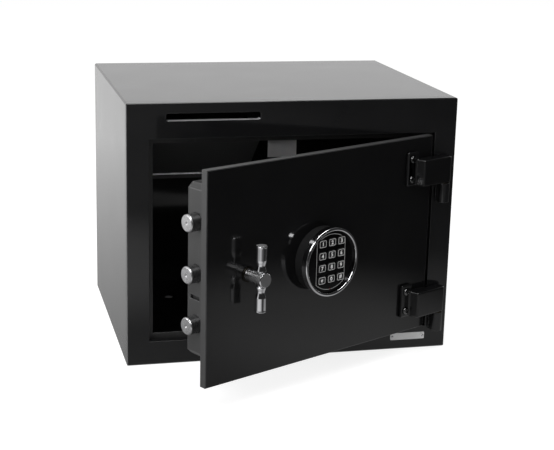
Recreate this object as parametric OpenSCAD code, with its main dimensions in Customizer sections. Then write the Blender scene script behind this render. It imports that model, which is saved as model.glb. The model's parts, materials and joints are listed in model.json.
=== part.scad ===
// Front-drop deposit safe: welded steel body, inset door on two outside hinges,
// three live bolts drawn by a T-handle, and a round electronic keypad.
// X runs right, Y runs back, Z runs up. The origin is at the middle of the underside.
// Door pieces are drawn as if the door were shut, and on_door() swings them open.

/* [Body] */
// Width over the side walls
body_w = 450; // [380:1:600]
// Height of the body
body_h = 355; // [330:1:500]
// Depth from the front face to the back
body_d = 360; // [300:1:500]
// Thickness of the folded side and top sheet
wall_t = 5; // [3:0.5:8]
// Thickness of the floor plate
floor_t = 5; // [3:0.5:8]
// Thickness of the back plate
back_t = 5; // [3:0.5:8]
// Thickness of the front frame
frame_t = 12; // [8:0.5:14]
// Outer radius of the two folded top edges
fold_r = 3; // [1:0.5:4]
// Chamfer round the front of the frame
frame_chamfer = 1; // [0.5:0.25:2]

/* [Anchor holes] */
// Radius of each anchor hole in the floor
anchor_r = 6.5; // [4:0.5:9]
// Spacing of the anchor holes across the safe
anchor_dx = 250; // [150:5:300]
// Spacing of the anchor holes front to back
anchor_dy = 180; // [100:5:200]

/* [Door opening] */
// Frame left at each side of the door opening
side_margin = 30; // [28:1:45]
// Frame left under the door opening
sill_h = 32; // [28:1:45]
// Frame left above the door opening
head_h = 47; // [44:1:70]
// How far the door stop shows inside the opening at the latch side and hinge side
stop_lip = 6.5; // [4:0.5:6.5]
// How far the door stop shows at the sill and the head
stop_lip_v = 8; // [4:0.5:8]
// Thickness of the door stop
stop_t = 3; // [2:0.5:4]
// How far the door stop laps behind the frame
stop_lap = 8; // [5:0.5:8]

/* [Deposit slot] */
// Width of the slot
slot_w = 125; // [90:1:150]
// Height of the slot
slot_h = 10; // [6:0.5:12]
// Radius of the slot's corners
slot_r = 3; // [1:0.5:3]
// Height of the slot's lower edge above the door opening
slot_rise = 23; // [20:1:30]
// Distance of the slot's left end from the side of the safe
slot_inset = 52; // [35:1:80]
// Thickness of the chute sheet
sheet_t = 2; // [1:0.25:2.5]
// Fall of the chute ramp below the slot
ramp_fall = 98; // [90:0.5:110]
// Run of the chute ramp behind the frame
ramp_run = 123; // [100:1:135]
// Height of the turned-down lip of the ramp
lip_h = 8; // [4:0.5:14]
// Distance that the chute runs on past the right end of the slot
chute_past = 12; // [4:1:30]
// Width of the strap at the right of the chute
strap_w = 39; // [25:1:60]

/* [Door] */
// Thickness of the door plate
door_t = 10.5; // [8:0.25:11]
// Gap at the latch side and hinge side of the door
door_gap = 2.5; // [2:0.25:4]
// Gap above and below the door
door_gap_v = 2; // [1:0.25:4]
// How far the door face lies behind the frame's face
door_recess = 1; // [0.5:0.25:3]
// Angle that the door stands open
door_open = 27; // [0:1:150]

/* [Hinges] */
// Distance of the hinge pins from the right side of the safe
pin_inset = 17; // [15:1:20]
// Distance of the hinge pins in front of the frame
pin_reach = 10; // [10:0.5:16]
// Radius of a hinge pin
pin_r = 4; // [3:0.25:5]
// Radial play of the pin in the door's arm
pin_play = 0.05; // [0.02:0.01:0.1]
// Width of the knuckle that is welded to the frame
knuckle_w = 15; // [12:0.5:18]
// Height of the knuckle
knuckle_h = 27; // [20:1:40]
// Height of the arm
arm_h = 36; // [28:1:40]
// Radius of the arm's round end
arm_r = 8; // [7:0.5:9]
// Length of the arm's raised part, from its left end to the pin
arm_len = 48; // [35:1:60]
// Width of the bolted leaf to the left of the raised part
leaf_w = 18; // [14:1:30]
// How far the raised part's left side leans out towards the leaf
arm_lean = 3.5; // [0:0.5:4]
// Thickness of the bolted leaf
leaf_t = 5.5; // [4:0.5:8]
// How far the leaf stands above the raised part
leaf_rise = 10; // [4:1:14]
// Height of the lower arm's underside above the safe's underside
low_arm_z = 57; // [46:1:80]
// Distance of the upper arm's leaf below the door's upper edge
high_arm_drop = 18; // [6:1:40]
// Thickness of the washer on each knuckle
washer_t = 1.3; // [1:0.1:2]

/* [T-handle] */
// Distance of the spindle from the door's left edge
spindle_inset = 65; // [58:0.5:75]
// Height of the spindle above the middle of the door
spindle_up = -1.5; // [-4:0.5:6]
// Radius of the spindle
spindle_r = 6; // [5:0.25:7]
// Distance of the hub's end from the door
hub_len = 33.25; // [33:0.25:60]
// Radius of the hub's head
hub_r = 9.25; // [8.5:0.25:12]
// Length of the cross bar
bar_len = 84; // [70:1:120]
// Radius of the cross bar's grips
grip_r = 6.75; // [6:0.25:8]
// Turn of the handle that throws the bolts
handle_turn = 60; // [40:5:70]

/* [Live bolts] */
// Radius of a live bolt
bolt_r = 11.5; // [9:0.5:12.5]
// Spacing of the live bolts
bolt_pitch = 66; // [55:1:70]
// Height of the middle bolt below the middle of the door
bolt_down = 7; // [0:1:10]
// Distance of a drawn bolt's end from the door's left edge
bolt_inset = 11.5; // [11:0.5:20]
// Travel of the bolts
bolt_throw = 18; // [14:1:20]
// Radial play of a bolt in its guides
bolt_play = 0.1; // [0.05:0.01:0.3]

/* [Boltwork housing] */
// Distance of the housing from the door's left and right edges
housing_inset = 26.5; // [22:0.5:40]
// Depth of the housing behind the door plate, with its cover
housing_d = 61; // [56:1:70]
// Distance of the housing's underside from the door's lower edge
housing_low = 19; // [14:1:30]
// Distance of the housing's top from the door's upper edge
housing_high = 30; // [29:1:40]
// Thickness of the housing's sheet
housing_t = 3; // [2:0.5:4]
// Cut across each of the housing's corners
housing_cut = 6.5; // [4:0.5:12]

/* [Keypad] */
// Distance of the keypad's middle left of the middle of the door
keypad_left = 9; // [0:1:12]
// Distance of the keypad's middle below the middle of the door
keypad_down = 1.5; // [0:0.5:6]
// Radius of the keypad's bright ring
ring_r = 45; // [44:0.5:50]
// Distance of the ring's face from the door
keypad_d = 25; // [20:0.5:32]
// Width of a key
key_w = 12.8; // [10:0.2:13.2]
// How far a key stands out of the face plate
key_proud = 2.2; // [1:0.1:3]
// Height of a key
key_h = 10.6; // [10:0.2:13]
// Sideways spacing of the keys
key_dx = 16; // [15:0.25:16.5]
// Upright spacing of the keys
key_dz = 16; // [15:0.25:16.5]
// Height of the block of keys above the keypad's middle
keys_up = 2; // [0:0.5:2]
// Travel of a key
key_travel = 0.8; // [0.4:0.1:1.2]

/* [Lock] */
// Width of the lock's case
lock_w = 61; // [50:1:70]
// Height of the lock's case
lock_h = 85; // [70:1:90]
// Depth of the lock's case
lock_d = 32; // [26:1:36]
// Width of the lock's bolt
lock_bolt_w = 12; // [8:0.5:13]
// Travel of the lock's bolt
lock_throw = 8; // [5:0.5:9]

/* [Nameplate] */
// Width of the bare plate on the sill
plate_w = 50; // [30:1:70]
// Height of the plate
plate_h = 10; // [8:0.5:16]
// Thickness of the plate
plate_t = 0.8; // [0.5:0.1:1.5]

/* [Hidden] */
$fn = 64;

// Clearances
seat = 0.3;
slack = 0.4;
sweep = 1;
// Length that a cut runs past the face it opens
over = 1;

// Body planes
front_y = -body_d / 2;
frame_back = front_y + frame_t;
back_y = body_d / 2;
right_x = body_w / 2;
in_x = right_x - wall_t;
in_top = body_h - wall_t;
open_x = right_x - side_margin;
open_z0 = sill_h;
open_z1 = body_h - head_h;

// Plate on the sill
plate_x = open_x - 0.5 - plate_w / 2;
plate_z = sill_h / 2 + 2;
rivet_r = 1;
rivet_dx = plate_w / 2 - 3;

// Slot and chute
slot_z = open_z1 + slot_rise;
slot_x0 = -right_x + slot_inset;
slot_x1 = slot_x0 + slot_w;
chute_x0 = -in_x + seat;
chute_x1 = slot_x1 + chute_past;
ramp_z = slot_z - 0.5;
ramp_slope = ramp_fall / ramp_run;
ramp_drop = sheet_t * sqrt(1 + ramp_slope * ramp_slope);
ramp_end = frame_back + ramp_run;
stop_back = frame_back + stop_t;
strap_top = 6;
strap_ear_h = 20;
strap_ear_d = 24;

// Door planes, with the door shut
door_x = open_x - door_gap;
door_z0 = open_z0 + door_gap_v;
door_z1 = open_z1 - door_gap_v;
door_mid = (door_z0 + door_z1) / 2;
door_face = front_y + door_recess;
door_back = door_face + door_t;

// Hinges
hinge_x = right_x - pin_inset;
hinge_y = front_y - pin_reach;
arm_zs = [low_arm_z, door_z1 - high_arm_drop - leaf_rise - arm_h];
knuckle_gap = washer_t + seat;
arm_front = hinge_y - arm_r;
arm_back = front_y - sweep;
leaf_front = door_face - leaf_t;
pin_up = 30;
hinge_screw_r = 3;
hinge_screw_gap = 27;

// Housing planes
housing_x = door_x - housing_inset;
housing_z0 = door_z0 + housing_low;
housing_z1 = door_z1 - housing_high;
housing_back = door_back + housing_d;
cover_t = 2;
lug = 14;
cover_screw_r = 2;
wall_x = housing_x - housing_t;
lug_d = 16;
slit_front = 7;
slit_behind = 11;

// Handle spindle
spindle_x = -door_x + spindle_inset;
spindle_z = door_mid + spindle_up;

// Live bolts and carriage
bolt_z = door_mid - bolt_down;
bolt_zs = [bolt_z - bolt_pitch, bolt_z, bolt_z + bolt_pitch];
bolt_end = -door_x + bolt_inset;
bolt_deep = 16.5;
bolt_y = housing_back - bolt_deep;
guide_t = 10;
carriage_t = 6;
carriage_in = 26;
carriage_x = spindle_x + carriage_in;
carriage_front = 12.5;
carriage_y = bolt_y - bolt_r - carriage_front;
carriage_past = 14;
carriage_z0 = bolt_zs[0] - carriage_past;
carriage_z1 = bolt_zs[2] + carriage_past;
drive_plate_w = 25;
bolt_screw_r = 3;
bolt_screw_l = 20;
strike_gap = 0.8;
strike_back = bolt_y - bolt_r - strike_gap;
strike_t = 4;

// Handle and cam
hub_end = door_face - hub_len;
bar_y = hub_end + hub_r;
bar_core_r = 5;
groove_z = 16;
groove_l = 5;
shaft_r = hub_r - 1;
bush_flange = 1.5;
bush_r = spindle_r + 2;
spindle_play = 0.05;
socket_wall = 3.5;
hub_socket = hub_len - bush_flange - hub_r - bar_core_r - socket_wall;
spindle_end = carriage_y - 2;
crank_r = bolt_throw / 2 / sin(handle_turn / 2);
crank_x = spindle_x + bolt_throw / 2;
crank_z = spindle_z + crank_r * cos(handle_turn / 2);
drive_r = 3;
crank_wall = 3;
cam_t = 6;
cam_gap = 7;
cam_y = carriage_y - cam_gap - cam_t;
cam_hub_r = 12;

// Lock
lock_in = 76.5;
lock_x = carriage_x + lock_in;
lock_down = 13.5;
lock_z1 = spindle_z - lock_down;
hardplate_t = 2.5;
hardplate_past = 2;
lock_y = door_back + hardplate_t;
lock_bar_gap = 3;
bar_z0 = lock_z1 + lock_bar_gap;
lock_bar_h = 20;
lock_bolt_h = 24;
lock_bolt_d = carriage_t + 6;
lock_screw_r = 3;
lock_screw_in = 8;
battery_w = 48.5;
battery_h = 26.5;
battery_d = 17.5;
tray_t = 2;
battery_in = 14;
battery_down = 24;
battery_x = lock_x + lock_w / 2 + battery_in;
battery_z = lock_z1 - battery_down - battery_h;

// Keypad
keypad_x = -keypad_left;
keypad_z = door_mid - keypad_down;
base_r = ring_r - 2.5;
base_wall = 2.5;
face_r = ring_r - 4.5;
face_t = 2.5;
face_sunk = 4.5;
face_y = door_face - keypad_d + face_sunk;
bezel_d = 9.5;
ring_round = 1.8;
key_play = 0.15;
key_round = 2.6;
key_flange = 0.8;
flange_t = 1;
board_y = face_y + face_t + seat + flange_t + key_travel + 0.2;
board_t = 1.6;
cable_hole_r = 5;
keypad_screw_dx = 25;
keypad_screw_r = 2;
light_down = 36;
light_r = 1.2;

// Shapes that repeat

module on_door() {
    translate([hinge_x, hinge_y, 0])
        rotate([0, 0, door_open])
            translate([-hinge_x, -hinge_y, 0])
                children();
}

// Box between two corners
module block(lo, hi) {
    translate(lo) cube(hi - lo);
}

// Round bar along Y from y0 to y1
module bar_along_y(x, z, r, y0, y1) {
    translate([x, y0, z]) rotate([-90, 0, 0]) cylinder(r = r, h = y1 - y0);
}

// Round bar along X from x0 to x1
module bar_along_x(y, z, r, x0, x1) {
    translate([x0, y, z]) rotate([0, 90, 0]) cylinder(r = r, h = x1 - x0);
}

// Turned shape about a line along Y; the outline is given as [radius, depth]
module turned_along_y(x, y, z) {
    translate([x, y, z]) rotate([-90, 0, 0]) rotate_extrude() children();
}

// Rectangle with true round corners, centred
module round_rect(w, h, r) {
    square([w - 2 * r, h], center = true);
    square([w, h - 2 * r], center = true);
    for (i = [-1, 1], j = [-1, 1])
        translate([i * (w / 2 - r), j * (h / 2 - r)]) circle(r = r);
}

// Upright plate between two Y planes from an XZ outline
module upright(y0, y1) {
    translate([0, y1, 0]) rotate([90, 0, 0]) linear_extrude(y1 - y0) children();
}

// Plate between two X planes from a YZ outline
module sideways(x0, x1) {
    translate([x0, 0, 0]) rotate([90, 0, 90]) linear_extrude(x1 - x0) children();
}

// Long 45-degree cuts along the four front edges of an upright plate
module front_edge_cuts(x0, x1, z0, z1, y, c) {
    side = c * sqrt(2);
    for (z = [z0, z1])
        translate([(x0 + x1) / 2, y, z]) rotate([45, 0, 0])
            cube([x1 - x0 + 2 * over, side, side], center = true);
    for (x = [x0, x1])
        translate([x, y, (z0 + z1) / 2]) rotate([0, 0, 45])
            cube([side, side, z1 - z0 + 2 * over], center = true);
}

// Screw along Y: a head in front of the seat plane and a shank behind it
module screw_in(x, y, z, shank_r, shank_l, head_r, head_h) {
    difference() {
        union() {
            bar_along_y(x, z, shank_r, y, y + shank_l);
            turned_along_y(x, y - head_h, z)
                polygon([[0, 0], [head_r - 1, 0], [head_r, 1], [head_r, head_h], [0, head_h]]);
        }
        translate([x, y - head_h - over, z]) rotate([-90, 0, 0])
            cylinder(r = head_r * 0.45, h = head_h * 0.6 + over, $fn = 6);
    }
}

// The same screw put in from behind
module screw_from_behind(x, y, z, shank_r, shank_l, head_r, head_h) {
    translate([2 * x, 2 * y, 0]) rotate([0, 0, 180]) screw_in(x, y, z, shank_r, shank_l, head_r, head_h);
}

// Body

module wrap_outline(inset) {
    r = fold_r;
    x = right_x - inset;
    translate([-x, 0]) square([2 * x, body_h - inset - r]);
    translate([-x + r, 0]) square([2 * (x - r), body_h - inset]);
    for (i = [-1, 1]) translate([i * (x - r), body_h - inset - r]) circle(r = r);
}

module body_wrap() {
    color("#17181a") difference() {
        upright(frame_back, back_y) wrap_outline(0);
        block([-in_x, frame_back - over, -over], [in_x, back_y + over, in_top]);
    }
}

module floor_plate() {
    color("#17181a") difference() {
        block([-in_x, frame_back, 0], [in_x, back_y - back_t, floor_t]);
        for (i = [-1, 1], j = [-1, 1])
            translate([i * anchor_dx / 2, j * anchor_dy / 2, -over])
                cylinder(r = anchor_r, h = floor_t + 2 * over);
    }
}

module back_plate() {
    color("#17181a") block([-in_x, back_y - back_t, 0], [in_x, back_y, in_top]);
}

module front_frame() {
    color("#17181a") difference() {
        upright(front_y, frame_back) wrap_outline(0);
        block([-open_x, front_y - over, open_z0], [open_x, frame_back + over, open_z1]);
        upright(front_y - over, frame_back + over)
            translate([(slot_x0 + slot_x1) / 2, slot_z + slot_h / 2]) round_rect(slot_w, slot_h, slot_r);
        front_edge_cuts(-right_x, right_x, 0, body_h, front_y, frame_chamfer);
    }
}

module stop_frame() {
    color("#141517") difference() {
        block([-open_x - stop_lap, frame_back, open_z0 - stop_lap],
              [open_x + stop_lap, stop_back, open_z1 + stop_lap]);
        block([-open_x + stop_lip, frame_back - over, open_z0 + stop_lip_v],
              [open_x - stop_lip, stop_back + over, open_z1 - stop_lip_v]);
    }
}

// Folded channel that the thrown bolts lock behind
module strike_channel() {
    edge = -open_x + stop_lip;
    color("#141517") translate([0, 0, open_z0 + stop_lip_v])
        linear_extrude(open_z1 - open_z0 - 2 * stop_lip_v - 3) {
            translate([-open_x - stop_lap, stop_back]) square([stop_lap + stop_lip, strike_t]);
            translate([edge - strike_t, stop_back]) square([strike_t, strike_back - stop_back]);
            translate([-in_x + seat, strike_back - strike_t])
                square([in_x - seat + edge, strike_t]);
        }
}

// Sheet that a deposit slides down, with a tab behind the frame and a turned-down lip
module chute_ramp() {
    tab_z = open_z1 + stop_lap + seat;
    bend = sheet_t * ramp_slope;
    ramp_low = ramp_z - ramp_fall;
    color("#1b1c1e") sideways(chute_x0, chute_x1)
        polygon([[frame_back, ramp_z], [ramp_end, ramp_low],
                 [ramp_end, ramp_low - lip_h], [ramp_end - sheet_t, ramp_low - lip_h],
                 [ramp_end - sheet_t, ramp_low - ramp_drop + bend],
                 [frame_back + sheet_t, ramp_z - ramp_drop - bend],
                 [frame_back + sheet_t, tab_z], [frame_back, tab_z]]);
}

module chute_cheek() {
    color("#1b1c1e") sideways(chute_x1, chute_x1 + sheet_t)
        polygon([[frame_back + seat, ramp_z], [ramp_end, ramp_z - ramp_fall],
                 [ramp_end, in_top - seat], [frame_back + seat, in_top - seat]]);
}

// Bent strap that ties the chute's cheek to the door stop
module chute_strap() {
    x0 = chute_x1 + sheet_t;
    top = open_z1 + stop_lap + strap_top;
    color("#6f7274") {
        block([x0, stop_back, housing_z1 + sweep], [x0 + strap_w, stop_back + sheet_t, top]);
        block([x0, stop_back, top - strap_ear_h], [x0 + sheet_t, stop_back + strap_ear_d, top]);
    }
}

module nameplate() {
    color("#d8d9da") upright(front_y - plate_t, front_y) translate([plate_x, plate_z]) difference() {
        round_rect(plate_w, plate_h, 1.5);
        for (i = [-1, 1]) translate([i * rivet_dx, 0]) circle(r = rivet_r);
    }
}

module nameplate_rivets() {
    head = 0.6;
    color("#b9babb") for (i = [-1, 1])
        turned_along_y(plate_x + i * rivet_dx, front_y - plate_t - head, plate_z)
            polygon([[0, 0], [rivet_r + 0.1, 0], [rivet_r + 0.7, head], [rivet_r, head],
                     [rivet_r, plate_t + head], [0, plate_t + head]]);
}

// Hinges: a welded knuckle and pin on the frame, and an arm bolted to the door

module hinge_knuckle(arm_z) {
    z1 = arm_z - knuckle_gap;
    color("#17181a") difference() {
        translate([0, 0, z1 - knuckle_h]) linear_extrude(knuckle_h) {
            translate([hinge_x, hinge_y]) circle(r = knuckle_w / 2);
            translate([hinge_x - knuckle_w / 2, hinge_y]) square([knuckle_w, front_y - hinge_y]);
        }
        translate([hinge_x, hinge_y, z1 - knuckle_h - over])
            cylinder(r = pin_r, h = knuckle_h + 2 * over);
    }
}

module hinge_knuckle_lower() { hinge_knuckle(arm_zs[0]); }

module hinge_knuckle_upper() { hinge_knuckle(arm_zs[1]); }

module hinge_pins() {
    color("#8f9193") for (z = arm_zs)
        translate([hinge_x, hinge_y, z - knuckle_gap - knuckle_h])
            cylinder(r = pin_r, h = knuckle_h + knuckle_gap + pin_up);
}

module hinge_washers() {
    color("#b08d4a") for (z = arm_zs)
        translate([hinge_x, hinge_y, z - knuckle_gap]) difference() {
            cylinder(r = knuckle_w / 2 - 0.5, h = washer_t);
            translate([0, 0, -over]) cylinder(r = pin_r + pin_play, h = washer_t + 2 * over);
        }
}

module hinge_arm(z) {
    x0 = hinge_x - arm_len;
    pad_x = door_x - 2;
    color("#17181a") on_door() difference() {
        union() {
            translate([0, 0, z]) linear_extrude(arm_h) {
                translate([x0, arm_front]) square([arm_len, arm_back - arm_front]);
                translate([hinge_x, hinge_y]) circle(r = arm_r);
            }
            block([x0, arm_back - over, z], [pad_x, door_face, z + arm_h]);
            translate([0, 0, z]) linear_extrude(arm_h)
                polygon([[x0, arm_front], [x0, leaf_front + over], [x0 - arm_lean, leaf_front + over],
                         [x0 - arm_lean, leaf_front]]);
            block([x0 - leaf_w, leaf_front, z], [x0 + 2, door_face, z + arm_h + leaf_rise]);
        }
        translate([hinge_x, hinge_y, z - over]) cylinder(r = pin_r + pin_play, h = pin_up + 2 * over);
        for (sz = hinge_screw_zs(z))
            bar_along_y(hinge_screw_x, sz, hinge_screw_r + 0.2, leaf_front - over, door_face + over);
    }
}

hinge_screw_x = hinge_x - arm_len - leaf_w / 2 - 1.5;
function hinge_screw_zs(z) =
    [for (i = [-1, 1]) z + (arm_h + leaf_rise) / 2 + i * hinge_screw_gap / 2];

module hinge_arm_lower() { hinge_arm(arm_zs[0]); }

module hinge_arm_upper() { hinge_arm(arm_zs[1]); }

module hinge_screws() {
    color("#c4c6c8") on_door() for (z = arm_zs, sz = hinge_screw_zs(z))
        screw_in(hinge_screw_x, leaf_front, sz, hinge_screw_r, leaf_t + door_t - 2, 5, 3);
}

// Door

module door_plate() {
    color("#101113") on_door() difference() {
        block([-door_x, door_face, door_z0], [door_x, door_back, door_z1]);
        front_edge_cuts(-door_x, door_x, door_z0, door_z1, door_face, 0.8);
        bar_along_y(spindle_x, spindle_z, bush_r, door_face - over, door_back + over);
        bar_along_y(keypad_x, keypad_z, cable_hole_r, door_face - over, door_back + over);
        for (i = [-1, 1])
            bar_along_y(keypad_x + i * keypad_screw_dx, keypad_z, keypad_screw_r,
                door_face - over, door_back - 2);
        for (z = arm_zs, sz = hinge_screw_zs(z))
            bar_along_y(hinge_screw_x, sz, hinge_screw_r, door_face - over, door_back - 1.5);
        for (p = lock_screw_places())
            bar_along_y(p[0], p[1], lock_screw_r, door_back - 7, door_back + over);
    }
}

module handle_bush() {
    color("#a9843f") on_door() difference() {
        union() {
            bar_along_y(spindle_x, spindle_z, bush_r, door_face, door_back);
            bar_along_y(spindle_x, spindle_z, bush_r + 2, door_face - bush_flange, door_face);
        }
        bar_along_y(spindle_x, spindle_z, spindle_r + spindle_play,
            door_face - bush_flange - over, door_back + over);
    }
}

module housing_outline(inset) {
    x = housing_x - inset;
    z0 = housing_z0 + inset;
    z1 = housing_z1 - inset;
    c = housing_cut - inset * 0.6;
    polygon([[-x + c, z0], [x - c, z0], [x, z0 + c], [x, z1 - c],
             [x - c, z1], [-x + c, z1], [-x, z1 - c], [-x, z0 + c]]);
}

function cover_screw_places() =
    [for (i = [-1, 0, 1], z = [housing_z0 + lug / 2 + housing_t, housing_z1 - lug / 2 - housing_t])
        [i * (wall_x - lug), z]];

module boltwork_housing() {
    slit_z = bolt_z - bolt_pitch / 2 + 1;
    slit_h = 5;
    color("#26282a") on_door() difference() {
        union() {
            difference() {
                upright(door_back, housing_back - cover_t) housing_outline(0);
                upright(door_back - over, housing_back) housing_outline(housing_t);
            }
            for (p = cover_screw_places())
                block([p[0] - lug / 2, housing_back - cover_t - lug_d, p[1] - lug / 2 - housing_t * 0.5],
                      [p[0] + lug / 2, housing_back - cover_t, p[1] + lug / 2 + housing_t * 0.5]);
        }
        for (z = bolt_zs)
            bar_along_x(bolt_y, z, bolt_r + bolt_play, -housing_x - over, -wall_x + over);
        for (p = cover_screw_places())
            bar_along_y(p[0], p[1], cover_screw_r, housing_back - cover_t - 12, housing_back);
        block([-housing_x - over, bolt_y - slit_front, slit_z - slit_h / 2],
              [-wall_x + over, bolt_y + slit_behind, slit_z + slit_h / 2]);
    }
}

// Bar with three bores that steadies the live bolts inside the housing
module bolt_guide() {
    color("#5d6063") on_door() difference() {
        block([-wall_x, bolt_y - bolt_r - 4, carriage_z0],
              [-wall_x + guide_t, housing_back - cover_t - seat, carriage_z1]);
        for (z = bolt_zs)
            bar_along_x(bolt_y, z, bolt_r + bolt_play, -wall_x - over, -wall_x + guide_t + over);
    }
}

module housing_cover() {
    color("#1d1f21") on_door() difference() {
        upright(housing_back - cover_t, housing_back) housing_outline(0);
        for (p = cover_screw_places())
            bar_along_y(p[0], p[1], cover_screw_r + 0.2, housing_back - cover_t - over, housing_back + over);
    }
}

module cover_screws() {
    color("#b7b9bb") on_door() for (p = cover_screw_places())
        screw_from_behind(p[0], housing_back, p[1], cover_screw_r, cover_t + 9, 4, 2);
}

// Lock

function lock_screw_places() =
    [for (i = [-1, 1], z = [lock_z1 - lock_screw_in, lock_z1 - lock_h + lock_screw_in])
        [lock_x + i * (lock_w / 2 - lock_screw_in), z]];

module hardplate() {
    color("#7c7f82") on_door() difference() {
        block([lock_x - lock_w / 2 - hardplate_past, door_back, lock_z1 - lock_h - hardplate_past],
              [lock_x + lock_w / 2 + hardplate_past, lock_y, lock_z1 + hardplate_past]);
        for (p = lock_screw_places())
            bar_along_y(p[0], p[1], lock_screw_r, door_back - over, lock_y + over);
    }
}

module lock_body() {
    color("#c9a45c") on_door() difference() {
        block([lock_x - lock_w / 2, lock_y, lock_z1 - lock_h],
              [lock_x + lock_w / 2, lock_y + lock_d, lock_z1]);
        for (p = lock_screw_places())
            bar_along_y(p[0], p[1], lock_screw_r, lock_y - over, lock_y + lock_d + over);
        lock_bolt_shape(lock_throw + seat, 0.1);
    }
}

module lock_bolt_shape(below, play) {
    y = carriage_y + carriage_t / 2;
    block([lock_x - lock_bolt_w / 2 - play, y - lock_bolt_d / 2 - play, lock_z1 - lock_bolt_h - below],
          [lock_x + lock_bolt_w / 2 + play, y + lock_bolt_d / 2 + play, lock_z1 + 1]);
}

module lock_bolt() {
    color("#d9c27c") on_door() lock_bolt_shape(0, 0);
}

module lock_screws() {
    color("#b7b9bb") on_door() for (p = lock_screw_places())
        screw_from_behind(p[0], lock_y + lock_d, p[1], lock_screw_r, lock_d + lock_y - door_back + 6, 5, 3);
}

module battery_tray() {
    edge = slack + tray_t;
    tray_back = door_back + tray_t + battery_d;
    color("#1b1b1b") on_door() difference() {
        block([battery_x - edge, door_back, battery_z - edge],
              [battery_x + battery_w + edge, tray_back, battery_z + battery_h + edge]);
        block([battery_x - slack, door_back + tray_t, battery_z - slack],
              [battery_x + battery_w + slack, tray_back + over, battery_z + battery_h + slack]);
    }
}

module battery() {
    y0 = door_back + tray_t;
    color("#3a3d40") on_door()
        block([battery_x, y0, battery_z], [battery_x + battery_w, y0 + battery_d, battery_z + battery_h]);
}

// Keypad

module keypad_base() {
    rim = face_y + face_t + seat;
    color("#151515") on_door() difference() {
        turned_along_y(keypad_x, rim, keypad_z)
            polygon([[0, door_face - rim - base_wall], [base_r - base_wall, door_face - rim - base_wall],
                     [base_r - base_wall, 0], [base_r - 0.5, 0], [base_r, 4],
                     [base_r, door_face - rim], [0, door_face - rim]]);
        bar_along_y(keypad_x, keypad_z, cable_hole_r, door_face - base_wall - over, door_face + over);
        for (i = [-1, 1])
            bar_along_y(keypad_x + i * keypad_screw_dx, keypad_z, keypad_screw_r + 0.1,
                door_face - base_wall - over, door_face + over);
    }
}

module keypad_bezel() {
    y0 = door_face - keypad_d;
    color("#d5d7d9") on_door() difference() {
        turned_along_y(keypad_x, y0, keypad_z) {
            translate([0, ring_round]) square([ring_r, bezel_d - ring_round]);
            square([ring_r - ring_round, bezel_d]);
            translate([ring_r - ring_round, ring_round]) circle(r = ring_round);
        }
        bar_along_y(keypad_x, keypad_z, face_r, y0 - over, y0 + bezel_d + over);
        bar_along_y(keypad_x, keypad_z, base_r + 0.05, face_y + face_t + seat, y0 + bezel_d + over);
    }
}

function key_place(i, j) = [keypad_x + (i - 1) * key_dx, keypad_z + keys_up + (1.5 - j) * key_dz];

module key_outline(grow) {
    round_rect(key_w + 2 * grow, key_h + 2 * grow, key_round);
}

module keypad_face() {
    color("#0d0d0e") on_door() difference() {
        bar_along_y(keypad_x, keypad_z, face_r - 0.05, face_y, face_y + face_t);
        for (i = [0:2], j = [0:3]) let (p = key_place(i, j))
            upright(face_y - over, face_y + face_t + over) translate(p) key_outline(key_play);
        bar_along_y(keypad_x, keypad_z - light_down, light_r + 0.05, face_y - over, face_y + face_t + over);
    }
}

module status_light() {
    color("#7a1511") on_door()
        bar_along_y(keypad_x, keypad_z - light_down, light_r, face_y - 0.3, face_y + face_t);
}

module keypad_board() {
    color("#1f5a33") on_door() difference() {
        bar_along_y(keypad_x, keypad_z, base_r - base_wall - 0.2, board_y, board_y + board_t);
        for (i = [-1, 1])
            bar_along_y(keypad_x + i * keypad_screw_dx, keypad_z, 2 * keypad_screw_r + 0.5,
                board_y - over, board_y + board_t + over);
    }
}

module keypad_screws() {
    color("#b7b9bb") on_door() for (i = [-1, 1])
        screw_in(keypad_x + i * keypad_screw_dx, door_face - base_wall, keypad_z,
            keypad_screw_r, base_wall + door_t - 3, 3.6, 2.2);
}

module key(i, j) {
    color("#161617") on_door() {
        upright(face_y - key_proud, face_y + face_t) translate(key_place(i, j)) key_outline(0);
        upright(face_y + face_t + seat, face_y + face_t + seat + flange_t)
            translate(key_place(i, j)) key_outline(key_flange);
        upright(face_y + face_t, face_y + face_t + seat) translate(key_place(i, j)) key_outline(0);
    }
}

// T-handle

module handle_hub() {
    shoulder = bar_y + hub_r + 1.5;
    color("#b9bbbd") on_door() difference() {
        turned_along_y(spindle_x, hub_end, spindle_z)
            polygon([[0, 0], [hub_r - 0.8, 0], [hub_r, 0.8], [hub_r, shoulder - hub_end],
                     [shaft_r, shoulder - hub_end + 1], [shaft_r, hub_len - bush_flange - seat],
                     [0, hub_len - bush_flange - seat]]);
        bar_along_y(spindle_x, spindle_z, spindle_r, door_face - bush_flange - hub_socket, door_face);
        translate([spindle_x, bar_y, spindle_z - hub_r - over])
            cylinder(r = bar_core_r, h = 2 * hub_r + 2 * over);
    }
}

// Outline of one half of the cross bar as [radius, distance from the middle]: a collar on the hub,
// a groove, and a grip with a rim at its end
function bar_outline() =
    let (h = bar_len / 2, g = grip_r, rim = g + 0.35, neck = g - 1.6)
    [[0, 0], [bar_core_r, 0], [bar_core_r, hub_r + 0.2], [g - 0.6, hub_r + 0.6], [g - 0.4, groove_z],
     [neck, groove_z + 0.4], [neck, groove_z + groove_l - 0.4], [g - 0.5, groove_z + groove_l],
     [g, groove_z + groove_l + 3], [g, h - 3], [rim, h - 1.6], [rim, h - 0.8], [g - 0.4, h], [0, h]];

module handle_bar() {
    color("#c6c8ca") on_door() translate([spindle_x, bar_y, spindle_z]) {
        rotate_extrude() polygon(bar_outline());
        mirror([0, 0, 1]) rotate_extrude() polygon(bar_outline());
    }
}

module handle_spindle() {
    color("#9b9da0") on_door()
        bar_along_y(spindle_x, spindle_z, spindle_r, door_face - bush_flange - hub_socket, spindle_end);
}

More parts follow.
